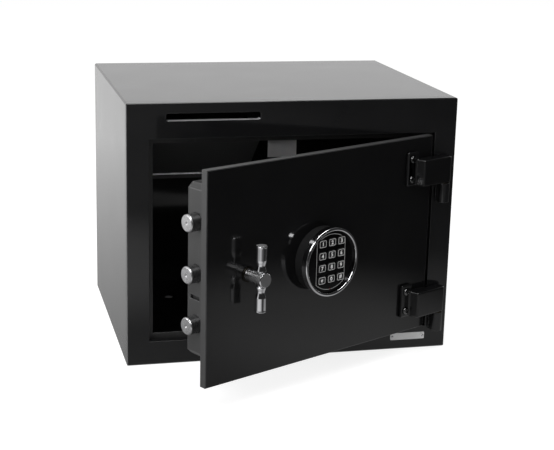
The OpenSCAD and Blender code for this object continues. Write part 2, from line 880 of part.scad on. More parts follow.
// Crank on the spindle that carries the drive pin
module cam_arm() {
    run = [crank_x - spindle_x, crank_z - spindle_z];
    color("#86898c") on_door() difference() {
        union() {
            bar_along_y(spindle_x, spindle_z, cam_hub_r, door_back + seat, cam_y + cam_t);
            bar_along_y(crank_x, crank_z, drive_r + crank_wall, cam_y, cam_y + cam_t);
            upright(cam_y, cam_y + cam_t) translate([spindle_x, spindle_z])
                rotate(atan2(run[1], run[0]))
                    translate([0, -drive_r - crank_wall]) square([norm(run), 2 * (drive_r + crank_wall)]);
        }
        bar_along_y(spindle_x, spindle_z, spindle_r, door_back, cam_y + cam_t + over);
        bar_along_y(crank_x, crank_z, drive_r, cam_y - over, cam_y + cam_t + over);
    }
}

module drive_pin() {
    color("#a5a7aa") on_door()
        bar_along_y(crank_x, crank_z, drive_r, cam_y, carriage_y + carriage_t + 2);
}

// Carriage and live bolts

// Folded bar that draws the three bolts, with the drive pin's slot and the lock's notches
module carriage() {
    slot_up = crank_r - crank_r * cos(handle_turn / 2) + drive_r + slack;
    notch_w = lock_bolt_w + 2 * slack;
    color("#54575a") on_door() difference() {
        union() {
            block([carriage_x - drive_plate_w, carriage_y, carriage_z0],
                  [carriage_x + carriage_t, carriage_y + carriage_t, carriage_z1]);
            block([carriage_x, carriage_y, carriage_z0],
                  [carriage_x + carriage_t, bolt_y + bolt_r + 2, carriage_z1]);
            block([carriage_x, carriage_y, bar_z0],
                  [lock_x + bolt_throw + notch_w / 2 + 4, carriage_y + carriage_t, bar_z0 + lock_bar_h]);
        }
        block([crank_x - drive_r - slack, carriage_y - over, crank_z - drive_r - slack],
              [crank_x + drive_r + slack, carriage_y + carriage_t + over, crank_z + slot_up]);
        for (x = [lock_x, lock_x + bolt_throw])
            block([x - notch_w / 2, carriage_y - over, bar_z0 - over],
                  [x + notch_w / 2, carriage_y + carriage_t + over, lock_z1 + 1 + lock_throw + slack]);
        for (z = bolt_zs)
            bar_along_x(bolt_y, z, bolt_screw_r, carriage_x - over, carriage_x + carriage_t + over);
    }
}

module live_bolt(z) {
    color("#a9abad") on_door() difference() {
        translate([bolt_end, bolt_y, z]) rotate([0, 90, 0]) rotate_extrude()
            polygon([[0, 0], [bolt_r - 2, 0], [bolt_r - 0.6, 0.6], [bolt_r, 2],
                     [bolt_r, carriage_x - bolt_end], [0, carriage_x - bolt_end]]);
        bar_along_x(bolt_y, z, bolt_screw_r, carriage_x + carriage_t - bolt_screw_l - 2, carriage_x + over);
    }
}

module live_bolt_lower() { live_bolt(bolt_zs[0]); }

module live_bolt_middle() { live_bolt(bolt_zs[1]); }

module live_bolt_upper() { live_bolt(bolt_zs[2]); }

module bolt_screws() {
    x = carriage_x + carriage_t;
    color("#b7b9bb") on_door() for (z = bolt_zs) difference() {
        union() {
            bar_along_x(bolt_y, z, bolt_screw_r, x - bolt_screw_l, x);
            bar_along_x(bolt_y, z, 5, x, x + 5);
        }
        bar_along_x(bolt_y, z, 2.5, x + 2, x + 5 + over, $fn = 6);
    }
}

body_wrap();
floor_plate();
back_plate();
front_frame();
stop_frame();
strike_channel();
chute_ramp();
chute_cheek();
chute_strap();
nameplate();
nameplate_rivets();
hinge_knuckle_upper();
hinge_knuckle_lower();
hinge_pins();
hinge_washers();
door_plate();
hinge_arm_upper();
hinge_arm_lower();
hinge_screws();
handle_bush();
boltwork_housing();
bolt_guide();
housing_cover();
cover_screws();
hardplate();
lock_body();
lock_screws();
battery_tray();
battery();
keypad_base();
keypad_bezel();
keypad_face();
keypad_board();
keypad_screws();
status_light();
handle_hub();
handle_bar();
handle_spindle();
cam_arm();
drive_pin();
carriage();
live_bolt_upper();
live_bolt_middle();
live_bolt_lower();
bolt_screws();
lock_bolt();
key(0, 0);  // key_1
key(1, 0);  // key_2
key(2, 0);  // key_3
key(0, 1);  // key_4
key(1, 1);  // key_5
key(2, 1);  // key_6
key(0, 2);  // key_7
key(1, 2);  // key_8
key(2, 2);  // key_9
key(0, 3);  // key_clear
key(1, 3);  // key_0
key(2, 3);  // key_enter
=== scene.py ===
import json
import math

import bmesh
import bpy
from mathutils import Matrix, Vector


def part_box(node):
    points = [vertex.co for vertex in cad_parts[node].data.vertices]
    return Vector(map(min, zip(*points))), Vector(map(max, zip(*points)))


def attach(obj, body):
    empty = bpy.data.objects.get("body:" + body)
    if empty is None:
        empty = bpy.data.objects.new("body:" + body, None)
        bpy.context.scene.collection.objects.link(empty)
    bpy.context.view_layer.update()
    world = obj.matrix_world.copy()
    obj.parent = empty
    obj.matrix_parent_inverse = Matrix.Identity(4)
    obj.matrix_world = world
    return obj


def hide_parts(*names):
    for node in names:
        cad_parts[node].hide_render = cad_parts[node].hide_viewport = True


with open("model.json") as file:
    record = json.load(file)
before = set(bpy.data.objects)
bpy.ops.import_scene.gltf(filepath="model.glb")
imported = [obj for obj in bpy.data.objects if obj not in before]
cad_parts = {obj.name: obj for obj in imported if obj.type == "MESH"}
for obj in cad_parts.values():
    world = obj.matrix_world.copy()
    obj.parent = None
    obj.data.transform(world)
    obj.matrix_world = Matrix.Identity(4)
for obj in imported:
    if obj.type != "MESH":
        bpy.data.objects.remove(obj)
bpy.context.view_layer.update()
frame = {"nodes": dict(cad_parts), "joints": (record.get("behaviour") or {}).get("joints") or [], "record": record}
nodes = frame["nodes"]
behaviour = frame["record"]["behaviour"]
bodyOf = {node: body for body, members in behaviour["bodies"].items() for node in members}
mm = 0.001
print("the frame holds", len(nodes), "nodes")

# The door stands ajar: its pieces are modelled as if it were shut, then swung open about the hinge pins.
doorHinge = [joint for joint in frame["joints"] if joint["name"] == "door_hinge"][0]
hingePoint = Vector(doorHinge["pos_m"])
doorAngle = -math.radians(doorHinge["range_deg"][0])
doorSwing = (Matrix.Translation(hingePoint) @ Matrix.Rotation(doorAngle, 4, "Z")
             @ Matrix.Translation(-hingePoint))
towardsFront = Matrix.Rotation(math.radians(90), 4, "X")  # turns a shape that stands on +Z to look along -Y
towardsLatch = Matrix.Rotation(math.radians(-90), 4, "Y")  # turns it to look along -X
towardsBack = Matrix.Rotation(math.radians(-90), 4, "X")


# Camera and studio

cameraSizes = {
    "place": (-0.4402, -1.8357, 0.6450),
    "pan": 14.146,  # degrees to the right of straight ahead
    "tilt": 15.011,  # degrees down
    "roll": 1.404,
    "lens": 85.81,  # millimetres, on Blender's own sensor
}

studio = {
    "floorSize": 9.0,
    "floorGlow": 0.84,  # what the floor shows the camera by itself
    "floorShade": 0.40,  # what the lamps add to it
    "worldFill": 0.40,
    "wallWay": (-0.5, 0.85),  # the bright wall lies behind the safe and to its left, as gloss mirrors it
    "wallFade": (-0.25, 0.45),
    "wallGlow": 0.68,
    "darkRoom": 0.02,  # the unlit part of the room, to the right and in front
    "tableWay": (-0.9, 0.85),  # the table grows brighter the same way
    "tableFade": (-0.6, 1.5),
    "tableGlow": 0.78,
    # lit parts of the table in front of the safe: centre, where each starts and ends to fade, and its glow
    "pools": [((0.23, -0.37, 0), 0.08, 0.37, 0.30), ((-0.28, -0.68, 0), 0.15, 0.4, 0.5),
              ((-0.1, -1.7, 0), 0.4, 1.1, 0.14)],
    "spotAim": (0.07, -0.78, 0.62),  # a small bright lamp, high in front, that only gloss mirrors
    "spotHalfAngle": 4.0,  # degrees
    "spotGlow": 11.0,
}

lamps = {  # name: place, aim, width, height and power
    "keyLight": ((-1.3, -1.5, 1.9), (0, 0, 0.15), 1.1, 1.1, 24),
    "sideLight": ((-1.9, 0.1, 0.7), (0, -0.1, 0.2), 0.4, 1.3, 7),
    "ceilingStrip": ((0.15, -0.35, 2.2), (0, -0.2, 0.2), 1.6, 0.35, 14),
}


def makeCamera():
    bpy.ops.object.camera_add()
    camera = bpy.context.object
    turn = (Matrix.Rotation(-math.radians(cameraSizes["pan"]), 4, "Z")
            @ Matrix.Rotation(math.radians(90 - cameraSizes["tilt"]), 4, "X")
            @ Matrix.Rotation(math.radians(cameraSizes["roll"]), 4, "Z"))
    camera.matrix_world = Matrix.Translation(Vector(cameraSizes["place"])) @ turn
    camera.data.lens = cameraSizes["lens"]
    bpy.context.scene.camera = camera


makeCamera()
bpy.context.scene.view_settings.view_transform = "Standard"
print("camera set")


# Node tools

class Signal:  # an output of a node, which can stand in a sum
    def __init__(self, sheet, socket):
        self.sheet = sheet
        self.socket = socket

    def sum(self, operation, first, second):
        return self.sheet.node("ShaderNodeMath", {"operation": operation}, {0: first, 1: second})

    def __add__(self, other):
        return self.sum("ADD", self, other)

    def __sub__(self, other):
        return self.sum("SUBTRACT", self, other)

    def __rsub__(self, other):
        return self.sum("SUBTRACT", other, self)

    def __mul__(self, other):
        return self.sum("MULTIPLY", self, other)

    def __pow__(self, other):
        return self.sum("POWER", self, other)

    __radd__ = __add__
    __rmul__ = __mul__


class Sheet:  # the nodes of one material or of the world
    def __init__(self, tree):
        self.tree = tree

    def raw(self, kind, settings, inputs):
        made = self.tree.nodes.new(kind)
        for name, value in settings.items():
            setattr(made, name, value)
        for name, value in inputs.items():
            if isinstance(value, Signal):
                self.tree.links.new(value.socket, made.inputs[name])
            else:
                made.inputs[name].default_value = value
        return made

    def node(self, kind, settings, inputs, output=0):
        return Signal(self, self.raw(kind, settings, inputs).outputs[output])

    def rays(self, *kinds):  # for each kind of ray, one where such a ray arrives and zero elsewhere
        path = self.raw("ShaderNodeLightPath", {}, {})
        return [Signal(self, path.outputs[f"Is {kind} Ray"]) for kind in kinds]

    def axes(self, vector):
        split = self.raw("ShaderNodeSeparateXYZ", {}, {0: vector})
        return [Signal(self, socket) for socket in split.outputs]

    def fade(self, value, start, end, low=0.0, high=1.0, way="SMOOTHSTEP"):  # a soft step from low to high
        return self.node("ShaderNodeMapRange", {"interpolation_type": way},
                         {"Value": value, "From Min": start, "From Max": end, "To Min": low, "To Max": high})

    def inside(self, x, y, low, high, margin):  # one over a box on the floor, fading at its rim
        return (self.fade(x, low[0], low[0] + margin) * self.fade(x, high[0] - margin, high[0], 1.0, 0.0)
                * self.fade(y, low[1], low[1] + margin) * self.fade(y, high[1] - margin, high[1], 1.0, 0.0))

    def blend(self, amount, first, second):  # between two colours
        return self.node("ShaderNodeMix", {"data_type": "RGBA"}, {0: amount, 6: first, 7: second}, 2)

    def place(self, centre=(0, 0, 0), turn=0.0, stretch=(1, 1, 1)):
        spot = self.node("ShaderNodeTexCoord", {}, {}, "Object")
        return self.node("ShaderNodeMapping", {"vector_type": "TEXTURE"},
                         {"Vector": spot, "Location": centre, "Rotation": (0, 0, turn), "Scale": stretch})

    def noise(self, spot, size, detail, rough=0.5):
        return self.node("ShaderNodeTexNoise", {},
                         {"Vector": spot, "Scale": 1 / size, "Detail": detail, "Roughness": rough})


class Finish(Sheet):  # one material; a pattern centred on a door piece turns with the door
    def __init__(self, name, centre, constants):
        self.material = bpy.data.materials.new(name)
        self.material.use_nodes = True
        super().__init__(self.material.node_tree)
        self.shader = self.tree.nodes["Principled BSDF"]
        for socket, value in constants.items():
            self.shader.inputs[socket].default_value = value
        self.lie = ((0, 0, 0), 0.0) if centre is None else (centre, doorAngle)
        self.spot = self.place(*self.lie)

    def grain(self, size, detail=2.0, rough=0.5, stretch=None):  # size is the width of one blotch, in metres
        spot = self.place(*self.lie, stretch) if stretch else self.spot
        return self.noise(spot, size, detail, rough)

    def feed(self, socket, signal):
        self.tree.links.new(signal.socket, self.shader.inputs[socket])

    def made(self, colour, roughness, height, depth):  # the material, once its shader is fed
        self.feed("Base Color", colour)
        self.feed("Roughness", roughness)
        relief = self.node("ShaderNodeBump", {}, {"Height": height, "Strength": 1.0, "Distance": depth})
        self.feed("Normal", relief)
        return self.material


def grey(level, blue=1.0):
    return (level, level, level * blue, 1.0)


# Studio

def makeWorld():
    world = bpy.data.worlds.new("studioAir")
    world.use_nodes = True
    bpy.context.scene.world = world
    sheet = Sheet(world.node_tree)
    camera, glossy = sheet.rays("Camera", "Glossy")
    x, y, z = sheet.axes(sheet.node("ShaderNodeTexCoord", {}, {}, "Generated"))
    acrossX, acrossY = studio["wallWay"]
    room = sheet.fade(x * acrossX + y * acrossY, *studio["wallFade"], studio["darkRoom"], studio["wallGlow"])
    aim = Vector(studio["spotAim"]).normalized()
    near = x * aim.x + y * aim.y + z * aim.z
    rim = math.radians(studio["spotHalfAngle"])
    room = room + sheet.fade(near, math.cos(rim * 1.1), math.cos(rim * 0.9), 0.0, studio["spotGlow"])
    strength = camera + (1 - camera) * (glossy * room + (1 - glossy) * studio["worldFill"])
    background = sheet.tree.nodes["Background"]
    background.inputs["Color"].default_value = (1, 1, 1, 1)
    sheet.tree.links.new(strength.socket, background.inputs["Strength"])


def makeFloor():
    bpy.ops.mesh.primitive_plane_add(size=studio["floorSize"], location=(0, 0, -0.5 * mm))
    floor = bpy.context.object
    floor.name = "studioFloor"
    bpy.ops.object.transform_apply(location=True)
    material = bpy.data.materials.new("paleFloor")
    material.use_nodes = True
    sheet = Sheet(material.node_tree)
    spot = sheet.place()
    camera, glossy, glass = sheet.rays("Camera", "Glossy", "Transmission")
    tone = sheet.blend(sheet.noise(spot, 3 * mm, 3), grey(0.78), grey(0.82))  # the grain of pale paper
    matt = sheet.node("ShaderNodeBsdfDiffuse", {}, {"Color": tone})
    x, y = sheet.axes(spot)[:2]
    footLow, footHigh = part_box("front_frame")[0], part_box("back_plate")[1]
    under = sheet.inside(x, y, footLow, (-footLow.x, footHigh.y), 3 * mm)  # no light gets below the safe
    glow = sheet.node("ShaderNodeEmission", {}, {"Strength": studio["floorGlow"] * (1 - under)})
    shade = sheet.blend(under, grey(studio["floorShade"]), grey(0))
    half = sheet.node("ShaderNodeBsdfDiffuse", {}, {"Color": shade})
    shown = sheet.node("ShaderNodeAddShader", {}, {0: glow, 1: half})
    acrossX, acrossY = studio["tableWay"]
    table = sheet.fade(x * acrossX + y * acrossY, *studio["tableFade"], studio["darkRoom"],
                       studio["tableGlow"], "LINEAR")
    for centre, start, end, level in studio["pools"]:
        reach = sheet.node("ShaderNodeVectorMath", {"operation": "DISTANCE"}, {0: spot, 1: centre}, 1)
        table = table + sheet.fade(reach, start, end, level, 0.0)
    mirrored = sheet.node("ShaderNodeEmission", {}, {"Strength": table})
    seen = sheet.node("ShaderNodeMixShader", {}, {0: camera, 1: matt, 2: shown})
    both = sheet.node("ShaderNodeMixShader", {}, {0: glossy + glass, 1: seen, 2: mirrored})
    out = sheet.tree.nodes["Material Output"]
    sheet.tree.links.new(both.socket, out.inputs["Surface"])
    floor.data.materials.append(material)


def softBox(name, place, aim, width, height, power):
    bpy.ops.object.light_add(type="AREA", location=place)
    lamp = bpy.context.object
    lamp.name = name
    lamp.data.shape = "RECTANGLE"
    lamp.data.size = width
    lamp.data.size_y = height
    lamp.data.energy = power
    lamp.rotation_mode = "QUATERNION"
    lamp.rotation_quaternion = (Vector(aim) - Vector(place)).to_track_quat("-Z", "Y")


makeWorld()
makeFloor()
for lampName, lampSizes in lamps.items():
    softBox(lampName, *lampSizes)
print("studio lit")


# Finishes

def blackCoat(name, centre=None, shine=0.07, level=0.012):  # gloss powder coat
    finish = Finish(name, centre, {"Specular IOR Level": 0.12, "Coat Weight": 1.0, "Coat Roughness": shine})
    cloud = finish.grain(70 * mm, 4, 0.6)
    peel = finish.grain(2.4 * mm, 1)
    grain = finish.grain(0.35 * mm, 2)
    dust = finish.fade(finish.grain(0.9 * mm, 3, 0.7), 0.66, 0.74)
    tone = finish.blend(cloud, grey(level * 0.8, 1.1), grey(level * 1.5, 1.06))
    colour = finish.blend(dust * 0.35, tone, grey(0.10, 1.02))
    return finish.made(colour, 0.2 + cloud * 0.16 + grain * 0.06, peel * 0.8 + grain * 0.2, 0.035 * mm)


def rubbedEdge(name, centre=None, level=0.022):  # thin paint on an edge, rubbed here and there; at a high level it is a painted highlight
    finish = Finish(name, centre, {"Specular IOR Level": 0.2, "Coat Weight": 1.0, "Coat Roughness": 0.12})
    rub = finish.grain(9 * mm, 4, 0.65)
    chip = finish.fade(finish.grain(1.3 * mm, 3, 0.6), 0.69, 0.73) * finish.fade(rub, 0.5, 0.62)
    tone = finish.blend(rub, grey(level * 0.8, 1.04), grey(level * 2.2, 1.02))
    colour = finish.blend(chip, tone, grey(0.22))
    finish.feed("Metallic", chip * 0.8)
    return finish.made(colour, 0.26 + rub * 0.2, finish.grain(1.6 * mm, 2) - chip * 0.5, 0.03 * mm)


def innerPaint(name, centre, level):  # satin black on the parts inside
    finish = Finish(name, centre, {"Coat Weight": 0.35, "Coat Roughness": 0.22})
    streaks = finish.grain(5 * mm, 4, 0.6, stretch=(1, 1, 9))
    cloud = finish.grain(45 * mm, 3)
    scuff = finish.fade(streaks, 0.63, 0.72)
    tone = finish.blend(cloud, grey(level * 0.8, 1.03), grey(level * 1.5))
    colour = finish.blend(scuff * 0.3, tone, grey(0.06))
    return finish.made(colour, 0.36 + cloud * 0.18 - scuff * 0.08, finish.grain(1.1 * mm, 2), 0.03 * mm)


def zincPlate(name, centre, level, stretch=(1, 1, 12)):  # zinc with rolling streaks
    finish = Finish(name, centre, {"Metallic": 1.0})
    streaks = finish.grain(1.1 * mm, 4, 0.6, stretch=stretch)
    cloud = finish.grain(14 * mm, 3)
    colour = finish.blend(streaks * 0.6 + cloud * 0.4, grey(level * 0.72, 1.03), grey(level * 1.2, 1.05))
    return finish.made(colour, 0.26 + cloud * 0.22 + streaks * 0.08, streaks, 0.02 * mm)


def turnedSteel(name, centre, axis, level, pitch=0.55 * mm, rough=0.2, groove=0.012 * mm):
    # fine rings left by the lathe round the piece's own axis
    finish = Finish(name, centre, {"Metallic": 1.0})
    ways = dict(zip("xyz", finish.axes(finish.spot)))
    along = ways.pop(axis)
    first, second = ways.values()
    reach = (first * first + second * second) ** 0.5
    rings = finish.node("ShaderNodeMath", {"operation": "SINE"}, {0: (reach + along) * (2 * math.pi / pitch)})
    cloud = finish.grain(6 * mm, 3)
    smear = finish.grain(1.2 * mm, 4, 0.7)
    colour = finish.blend(cloud * 0.6 + smear * 0.4, grey(level * 0.8, 1.01), grey(level * 1.15, 1.02))
    return finish.made(colour, rough + cloud * 0.12 + rings * 0.03, rings * 0.5 + smear * 0.3, groove)


def chrome(name, centre, level, rough):  # polished, with faint smears
    finish = Finish(name, centre, {"Metallic": 1.0})
    smear = finish.grain(7 * mm, 4, 0.65, stretch=(1, 1, 2.2))
    colour = finish.blend(smear, grey(level * 0.92, 1.02), grey(level * 1.05, 1.03))
    roughness = rough + finish.fade(smear, 0.4, 0.75) * 0.07
    return finish.made(colour, roughness, finish.grain(4 * mm, 2), 0.01 * mm)


def darkSteel(name, centre=None, level=0.22, rough=0.3):  # oiled plain steel with mill marks
    finish = Finish(name, centre, {"Metallic": 1.0})
    mill = finish.grain(1.4 * mm, 4, 0.6, stretch=(1, 6, 1))
    stain = finish.grain(11 * mm, 4, 0.6)
    colour = finish.blend(stain, grey(level * 0.6, 0.98), grey(level * 1.3, 1.02))
    return finish.made(colour, rough + stain * (rough / 1.5) + mill * (rough / 5), mill, 0.02 * mm)


def brass(name, centre=None, dark=(0.50, 0.33, 0.12, 1), light=(0.76, 0.57, 0.28, 1)):
    finish = Finish(name, centre, {"Metallic": 1.0})
    tarnish = finish.grain(5 * mm, 4, 0.6)
    lathe = finish.grain(0.8 * mm, 3, stretch=(1, 7, 1))
    colour = finish.blend(tarnish, dark, light)
    return finish.made(colour, 0.24 + tarnish * 0.2, lathe, 0.015 * mm)


def castZinc(name, centre, dark=(0.42, 0.40, 0.36, 1), light=(0.58, 0.55, 0.49, 1)):  # grainy die casting
    finish = Finish(name, centre, {"Metallic": 1.0})
    skin = finish.grain(0.8 * mm, 4, 0.7)
    flow = finish.grain(16 * mm, 3)
    colour = finish.blend(flow, dark, light)
    return finish.made(colour, 0.42 + skin * 0.18, skin, 0.05 * mm)


def mouldedPlastic(name, centre):
    finish = Finish(name, centre, {"IOR": 1.49, "Specular IOR Level": 0.1})
    cells = finish.node("ShaderNodeTexVoronoi", {}, {"Vector": finish.spot, "Scale": 1 / (0.55 * mm)},
                        "Distance")
    cloud = finish.grain(22 * mm, 3)
    colour = finish.blend(cloud, grey(0.0096, 1.03), grey(0.018, 1.03))
    return finish.made(colour, 0.42 + cloud * 0.12, cells, 0.05 * mm)


def faceGloss(name, centre):  # the smooth black face under the keys
    finish = Finish(name, centre, {"IOR": 1.49, "Specular IOR Level": 0.1, "Coat Weight": 0.25,
                                   "Coat Roughness": 0.03})
    wipe = finish.grain(6 * mm, 4, 0.6, stretch=(4, 1, 1))
    dust = finish.fade(finish.grain(0.5 * mm, 3, 0.7), 0.68, 0.75)
    colour = finish.blend(dust * 0.2, grey(0.003, 1.1), grey(0.04))
    return finish.made(colour, 0.16 + wipe * 0.14, finish.grain(3 * mm, 2), 0.01 * mm)


def keyRubber(name, centre):
    finish = Finish(name, centre, {"Specular IOR Level": 0.15})
    grain = finish.grain(0.22 * mm, 3, 0.6)
    touch = finish.grain(7 * mm, 3)  # polished a little where fingers press
    colour = finish.blend(grain, grey(0.005, 1.05), grey(0.012, 1.04))
    return finish.made(colour, 0.44 + grain * 0.1 - touch * 0.12, grain, 0.02 * mm)


def paleInk(name, centre, level):
    finish = Finish(name, centre, {"IOR": 1.45})
    wear = finish.grain(1.1 * mm, 4, 0.6)
    colour = finish.blend(finish.fade(wear, 0.3, 0.6), grey(level * 0.75), grey(level))
    return finish.made(colour, 0.45 + wear * 0.15, wear, 0.01 * mm)


def plateMetal(name):  # satin aluminium, brushed across
    finish = Finish(name, None, {"Metallic": 0.3})
    brush = finish.grain(0.35 * mm, 4, 0.6, (30, 1, 1))
    cloud = finish.grain(9 * mm, 3)
    colour = finish.blend(brush * 0.7 + cloud * 0.3, grey(0.82), grey(0.97))
    return finish.made(colour, 0.34 + brush * 0.2, brush, 0.012 * mm)


def greenBoard(name, centre):  # solder mask over copper tracks
    finish = Finish(name, centre, {"Coat Weight": 0.5, "Coat Roughness": 0.1})
    x = finish.axes(finish.spot)[0]
    bend = finish.grain(14 * mm) * 0.01
    waves = finish.node("ShaderNodeMath", {"operation": "PINGPONG"}, {0: x + bend, 1: 1.2 * mm})
    track = finish.fade(waves, 0.55 * mm, 0.65 * mm)
    colour = finish.blend(track, (0.012, 0.075, 0.028, 1), (0.03, 0.16, 0.06, 1))
    return finish.made(colour, 0.3 + finish.grain(3 * mm) * 0.15, track, 0.03 * mm)


def redLens(name, centre):
    finish = Finish(name, centre, {"Coat Weight": 0.8, "Coat Roughness": 0.04})
    depth = finish.grain(1.2 * mm, 2)
    colour = finish.blend(depth, (0.05, 0.004, 0.004, 1), (0.12, 0.01, 0.01, 1))
    return finish.made(colour, 0.12 + depth * 0.08, finish.grain(0.4 * mm, 1), 0.01 * mm)


def batterySkin(name, centre):
    finish = Finish(name, centre, {"Coat Weight": 0.4, "Coat Roughness": 0.15})
    x = finish.axes(finish.spot)[0]
    band = finish.fade(x, 12 * mm, 12.4 * mm)
    finish.feed("Metallic", band * 0.7)
    fleck = finish.grain(0.5 * mm, 3)
    wrap = finish.blend(band, grey(0.03, 1.1), (0.45, 0.30, 0.12, 1))
    colour = finish.blend(fleck * 0.2, wrap, grey(0.15))
    return finish.made(colour, 0.3 + fleck * 0.12, fleck, 0.01 * mm)


# Modelling tools

def deselect():
    bpy.ops.object.select_all(action="DESELECT")


def activate(piece):
    deselect()
    piece.select_set(True)
    bpy.context.view_layer.objects.active = piece


def edit(piece):
    activate(piece)
    bpy.ops.object.mode_set(mode="EDIT")
    bpy.ops.mesh.select_all(action="DESELECT")


def selectAll():
    bpy.ops.mesh.select_all(action="SELECT")


def mergeNear(reach):  # joins all corners closer than this many millimetres
    selectAll()
    bpy.ops.mesh.remove_doubles(threshold=reach * mm)


def leave():
    bpy.ops.object.mode_set(mode="OBJECT")


def faceOutwards():  # then leaves edit mode
    selectAll()
    bpy.ops.mesh.normals_make_consistent(inside=False)
    leave()


def pickFaces(piece, wanted):  # selects the faces for which wanted(face, its middle) holds
    bpy.ops.mesh.select_all(action="DESELECT")
    bpy.context.tool_settings.mesh_select_mode = (False, False, True)
    shape = bmesh.from_edit_mesh(piece.data)
    for face in shape.faces:
        face.select_set(wanted(face, face.calc_center_median()))
    shape.select_flush_mode()
    bmesh.update_edit_mesh(piece.data)


def paintFaces(piece, number, wanted):  # gives such faces another of the piece's paints
    edit(piece)
    pickFaces(piece, wanted)
    piece.active_material_index = number
    bpy.ops.object.material_slot_assign()
    leave()


def pickEdges(piece, wanted):
    bpy.ops.mesh.select_all(action="DESELECT")
    bpy.context.tool_settings.mesh_select_mode = (False, True, False)
    shape = bmesh.from_edit_mesh(piece.data)
    for edge in shape.edges:
        edge.select_set(wanted(edge))
    bmesh.update_edit_mesh(piece.data)


def applyModifiers(piece):
    activate(piece)
    for name in [modifier.name for modifier in piece.modifiers]:
        bpy.ops.object.modifier_apply(modifier=name)


def soften(piece, width, rounds=2, limit=30, edgePaint=False):  # rounds hard edges, in millimetres
    activate(piece)
    bpy.ops.object.shade_smooth()
    bevel = piece.modifiers.new("roundedEdges", "BEVEL")
    bevel.width = width * mm
    bevel.segments = rounds
    bevel.limit_method = "ANGLE"
    bevel.angle_limit = math.radians(limit)
    bevel.use_clamp_overlap = False
    if edgePaint:
        bevel.material = 1
    even = piece.modifiers.new("evenNormals", "WEIGHTED_NORMAL")
    even.weight = 90
    even.keep_sharp = True
    applyModifiers(piece)


def settle(piece, *moves):  # puts a finished shape in its place and leaves its object at the origin
    whole = Matrix.Identity(4)
    for move in moves:
        whole = whole @ move
    piece.matrix_world = whole @ piece.matrix_world
    activate(piece)
    bpy.ops.object.transform_apply(location=True, rotation=True, scale=True)


def paint(piece, *paints):
    piece.data.materials.clear()
    for material in paints:
        piece.data.materials.append(material)


def stand(piece, node):  # the piece is shown in place of the node
    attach(piece, bodyOf[node])
    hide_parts(node)


def copyOf(node, name):  # the node's own shape with its triangles merged into whole faces
    piece = bpy.data.objects.new(name, nodes[node].data.copy())
    bpy.context.scene.collection.objects.link(piece)
    activate(piece)
    bpy.ops.mesh.customdata_custom_splitnormals_clear()
    edit(piece)
    mergeNear(0.002)
    bpy.ops.mesh.dissolve_limited(angle_limit=math.radians(0.6))
    leave()
    return piece


def extrude(x, y, z):
    bpy.ops.mesh.extrude_region_move(TRANSFORM_OT_translate={"value": (x, y, z)})


def spun(name, outline, sides=96):  # turned on a lathe: the outline is (radius, height) in millimetres
    points = [Vector((reach * mm, 0, height * mm)) for reach, height in outline]
    deselect()
    bpy.ops.mesh.primitive_plane_add(size=mm)
    piece = bpy.context.object
    piece.name = name
    edit(piece)
    selectAll()
    bpy.ops.mesh.select_mode(type="VERT")
    bpy.ops.mesh.merge(type="CENTER")
    bpy.ops.transform.translate(value=points[0])
    for last, point in zip(points, points[1:]):
        extrude(*(point - last))
    selectAll()
    bpy.ops.mesh.spin(steps=sides, angle=2 * math.pi, center=(0, 0, 0), axis=(0, 0, 1))
    mergeNear(0.002)
    faceOutwards()
    return piece


def carve(piece, cutter):  # cuts the cutter's shape out of the piece
    cut = piece.modifiers.new("cut", "BOOLEAN")
    cut.operation = "DIFFERENCE"
    cut.solver = "EXACT"
    cut.object = cutter
    applyModifiers(piece)
    bpy.data.objects.remove(cutter)


def boxOf(places):
    axes = list(zip(*places))
    return Vector([min(axis) for axis in axes]), Vector([max(axis) for axis in axes])


def shutBox(node):  # a door node's corners with the door swung shut
    back = doorSwing.inverted()
    return boxOf([back @ vertex.co for vertex in nodes[node].data.vertices])


def placesIn(node, swing=doorSwing):  # the boxes of the loose solids that share one node
    whole = copyOf(node, "looseSolids")
    settle(whole, swing.inverted())
    edit(whole)
    selectAll()
    bpy.ops.mesh.separate(type="LOOSE")
    leave()
    boxes = []
    for solid in list(bpy.context.selected_objects):
        boxes.append(boxOf([vertex.co for vertex in solid.data.vertices]))
        bpy.data.objects.remove(solid)
    return sorted(boxes, key=lambda box: (round(box[0].z, 4), round(box[0].x, 4)))


def middle(box):
    return (box[0] + box[1]) / 2


def doorSpot(point):  # where a point of the shut door lies with the door ajar
    return doorSwing @ Vector(point)


def dress(node, name, paints, width, edgePaint=False, prepare=None):  # the node's shape, painted and softened
    piece = copyOf(node, name)
    paint(piece, *paints)
    if prepare:
        prepare(piece)
    soften(piece, width, 2, 30, edgePaint)
    stand(piece, node)


def onDoor(piece, x, y, z, *moves):  # sets a piece on the shut door, looking forwards, and swings it open
    settle(piece, doorSwing, Matrix.Translation((x, y, z)), towardsFront, *moves)


def setCopies(master, node, name, facing, swing=doorSwing):  # a copy of the master for each solid of the node
    for number, box in enumerate(placesIn(node, swing)):
        spot = middle(box)
        foot = box[1].y if facing is towardsFront else box[0].y
        piece = bpy.data.objects.new(f"{name}{number + 1}", master.data.copy())
        bpy.context.scene.collection.objects.link(piece)
        settle(piece, swing, Matrix.Translation((spot.x, foot, spot.z)), facing)
        stand(piece, node)
    bpy.data.objects.remove(master)


# Body: plates, stop, chute

bodyPaint = blackCoat("bodyCoat")
bodyEdge = rubbedEdge("bodyEdge")
# painted shade: the front frame and knuckles have the body's black coat, painted darker for the shade on the front
frameShadedPaint = blackCoat("frameShadedCoat", level=0.007)
stopPaint = innerPaint("stopPaint", None, 0.018)
darkPaint = innerPaint("innerPaint", None, 0.042)
darkEdge = rubbedEdge("innerEdge", level=0.035)

